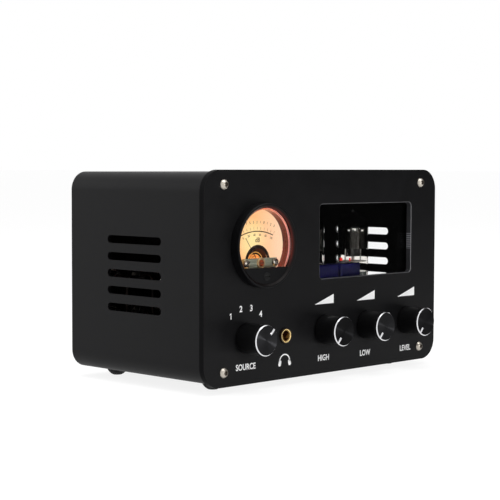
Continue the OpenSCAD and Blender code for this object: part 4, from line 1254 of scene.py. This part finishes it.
def show_white(out, share, plain, white):
    """Mixes white in for what the camera sees, straight, in a gloss or through clear pieces."""
    path = add(plain.outputs[0], "LightPath").outputs
    seen = maths("MAXIMUM", path["Is Camera Ray"], path["Is Glossy Ray"])
    seen = maths("MAXIMUM", seen, path["Is Transmission Ray"])
    seen = maths("MULTIPLY", seen, maths("LESS_THAN", path["Diffuse Depth"], 0.5))
    mix = add(seen, "MixShader", maths("MULTIPLY", seen, share), plain.outputs[0], white.outputs[0])
    put(out, Surface=mix.outputs[0])


def staged(name, bm, mat):
    """Object of the stage out of a bmesh."""
    piece = piece_of(name, bm, mat)
    return piece


def floor():
    """Wide pale floor that keeps the object's shadow."""
    mat = bpy.data.materials.new("Floor white")
    mat.use_nodes = True
    shader, out = (mat.node_tree.nodes[name] for name in ("Principled BSDF", "Material Output"))
    put(shader, Base_Color=(0.86, 0.86, 0.86, 1), Roughness=0.9, Specular_IOR_Level=0.1)
    show_white(out, 0.75, shader, add(shader.outputs[0], "Emission", WHITE, 1.14))
    bm = bmesh.new()
    bmesh.ops.create_grid(bm, x_segments=2, y_segments=2, size=30.0)
    bmesh.ops.translate(bm, vec=(0, 0, CAD_BOX[0][2] - 0.0002), verts=bm.verts)
    staged("floor", bm, mat)


def studio():
    """World that lights the rear more than the front."""
    world = bpy.data.worlds.new("Studio")
    bpy.context.scene.world = world
    world.use_nodes = True
    back, out = (world.node_tree.nodes[name] for name in ("Background", "World Output"))
    way = axes(add(back.outputs[0], "TexCoord").outputs["Generated"])
    front = remap(way["X"], -0.8, 0.8, 0.55, 0.10)
    rear = remap(way["X"], -0.8, 0.8, 0.3, 1.45)
    put(back, Color=WHITE, Strength=remap(way["Y"], -0.2, 0.5, front, rear))
    show_white(out, 1.0, back, add(back.outputs[0], "Background", WHITE))


def flag():
    """Dark card out of sight at the right front, which keeps the pane and the panel black."""
    bm = bmesh.new()
    bmesh.ops.create_grid(bm, x_segments=1, y_segments=1, size=0.5)
    place = shift((0.46, -0.48, 0.4)) @ turned(45, "Z") @ FRONT
    bmesh.ops.transform(bm, matrix=place @ Matrix.Diagonal((1.5, 0.8, 1, 1)), verts=bm.verts)
    cloth = grained("Flag cloth", (0.006, 0.006, 0.006), 1.5, (0.9, 1.0), 200.0)
    staged("flag", bm, cloth).visible_camera = False


def softbox(name, place, aim, size, power):
    data = bpy.data.lights.new(name, "AREA")
    data.shape = "RECTANGLE"
    data.size, data.size_y = size
    data.energy = power
    lamp = placed(name, data)
    lamp.location = place
    lamp.rotation_euler = (Vector(aim) - Vector(place)).to_track_quat("-Z", "Y").to_euler()


def camera():
    """Camera at the viewing angle of the picture."""
    data = bpy.data.cameras.new("camera")
    data.sensor_width, data.lens = 36.0, 105.465
    data.clip_start, data.clip_end = 0.05, 100.0
    piece = placed("camera", data)
    piece.location = at(-634.98, -559.16, 119.47)
    piece.rotation_euler = [math.radians(angle) for angle in (90 - 3.283, -0.174, -45.535)]
    bpy.context.scene.camera = piece


class PREAMP_OT_stage(bpy.types.Operator):
    """Floor, studio light and camera"""

    bl_idname = "preamp.stage"
    bl_label = "Stage"

    def execute(self, context):
        floor()
        studio()
        flag()
        softbox("top_box", (-0.1, -0.1, 1.3), (0, 0, 0.05), (1.3, 1.0), 14.0)
        softbox("left_box", (-0.75, 0.62, 0.45), (0, 0, 0.06), (0.7, 0.6), 2.0)
        softbox("front_box", (0.2, -1.6, 0.9), (0, 0, 0.06), (0.9, 0.7), 2.0)
        softbox("knob_box", (0.03, -0.88, 0.17), (0, 0, 0.03), (0.30, 0.12), 4.0)
        camera()
        context.scene.view_settings.view_transform = "Standard"
        return {"FINISHED"}


class PREAMP_PT_panel(bpy.types.Panel):
    """Sizes, colours and pieces of the preamplifier"""

    bl_idname = "PREAMP_PT_panel"
    bl_label = "Tube Preamplifier"
    bl_space_type = "VIEW_3D"
    bl_region_type = "UI"
    bl_category = "Preamplifier"

    def draw(self, context):
        layout = self.layout
        for operator in OPERATORS:
            layout.operator(operator.bl_idname)
        for group in (context.scene.preamp_sizes, context.scene.preamp_colours):
            box = layout.box()
            for key in group.__annotations__:
                box.prop(group, key)


OPERATORS = (
    PREAMP_OT_case,
    PREAMP_OT_window,
    PREAMP_OT_meter,
    PREAMP_OT_knobs,
    PREAMP_OT_marks,
    PREAMP_OT_tubes,
    PREAMP_OT_boards,
    PREAMP_OT_connectors,
    PREAMP_OT_stage,
)
CLASSES = (PREAMP_PG_sizes, PREAMP_PG_colours, *OPERATORS, PREAMP_PT_panel)


def register():
    for cls in CLASSES:
        bpy.utils.register_class(cls)
    bpy.types.Scene.preamp_sizes = PointerProperty(type=PREAMP_PG_sizes)
    bpy.types.Scene.preamp_colours = PointerProperty(type=PREAMP_PG_colours)


def unregister():
    del bpy.types.Scene.preamp_colours
    del bpy.types.Scene.preamp_sizes
    for cls in reversed(CLASSES):
        bpy.utils.unregister_class(cls)


def main():
    register()
    for operator in OPERATORS:
        group, name = operator.bl_idname.split(".")
        getattr(getattr(bpy.ops, group), name)()


if __name__ == "__main__":
    main()
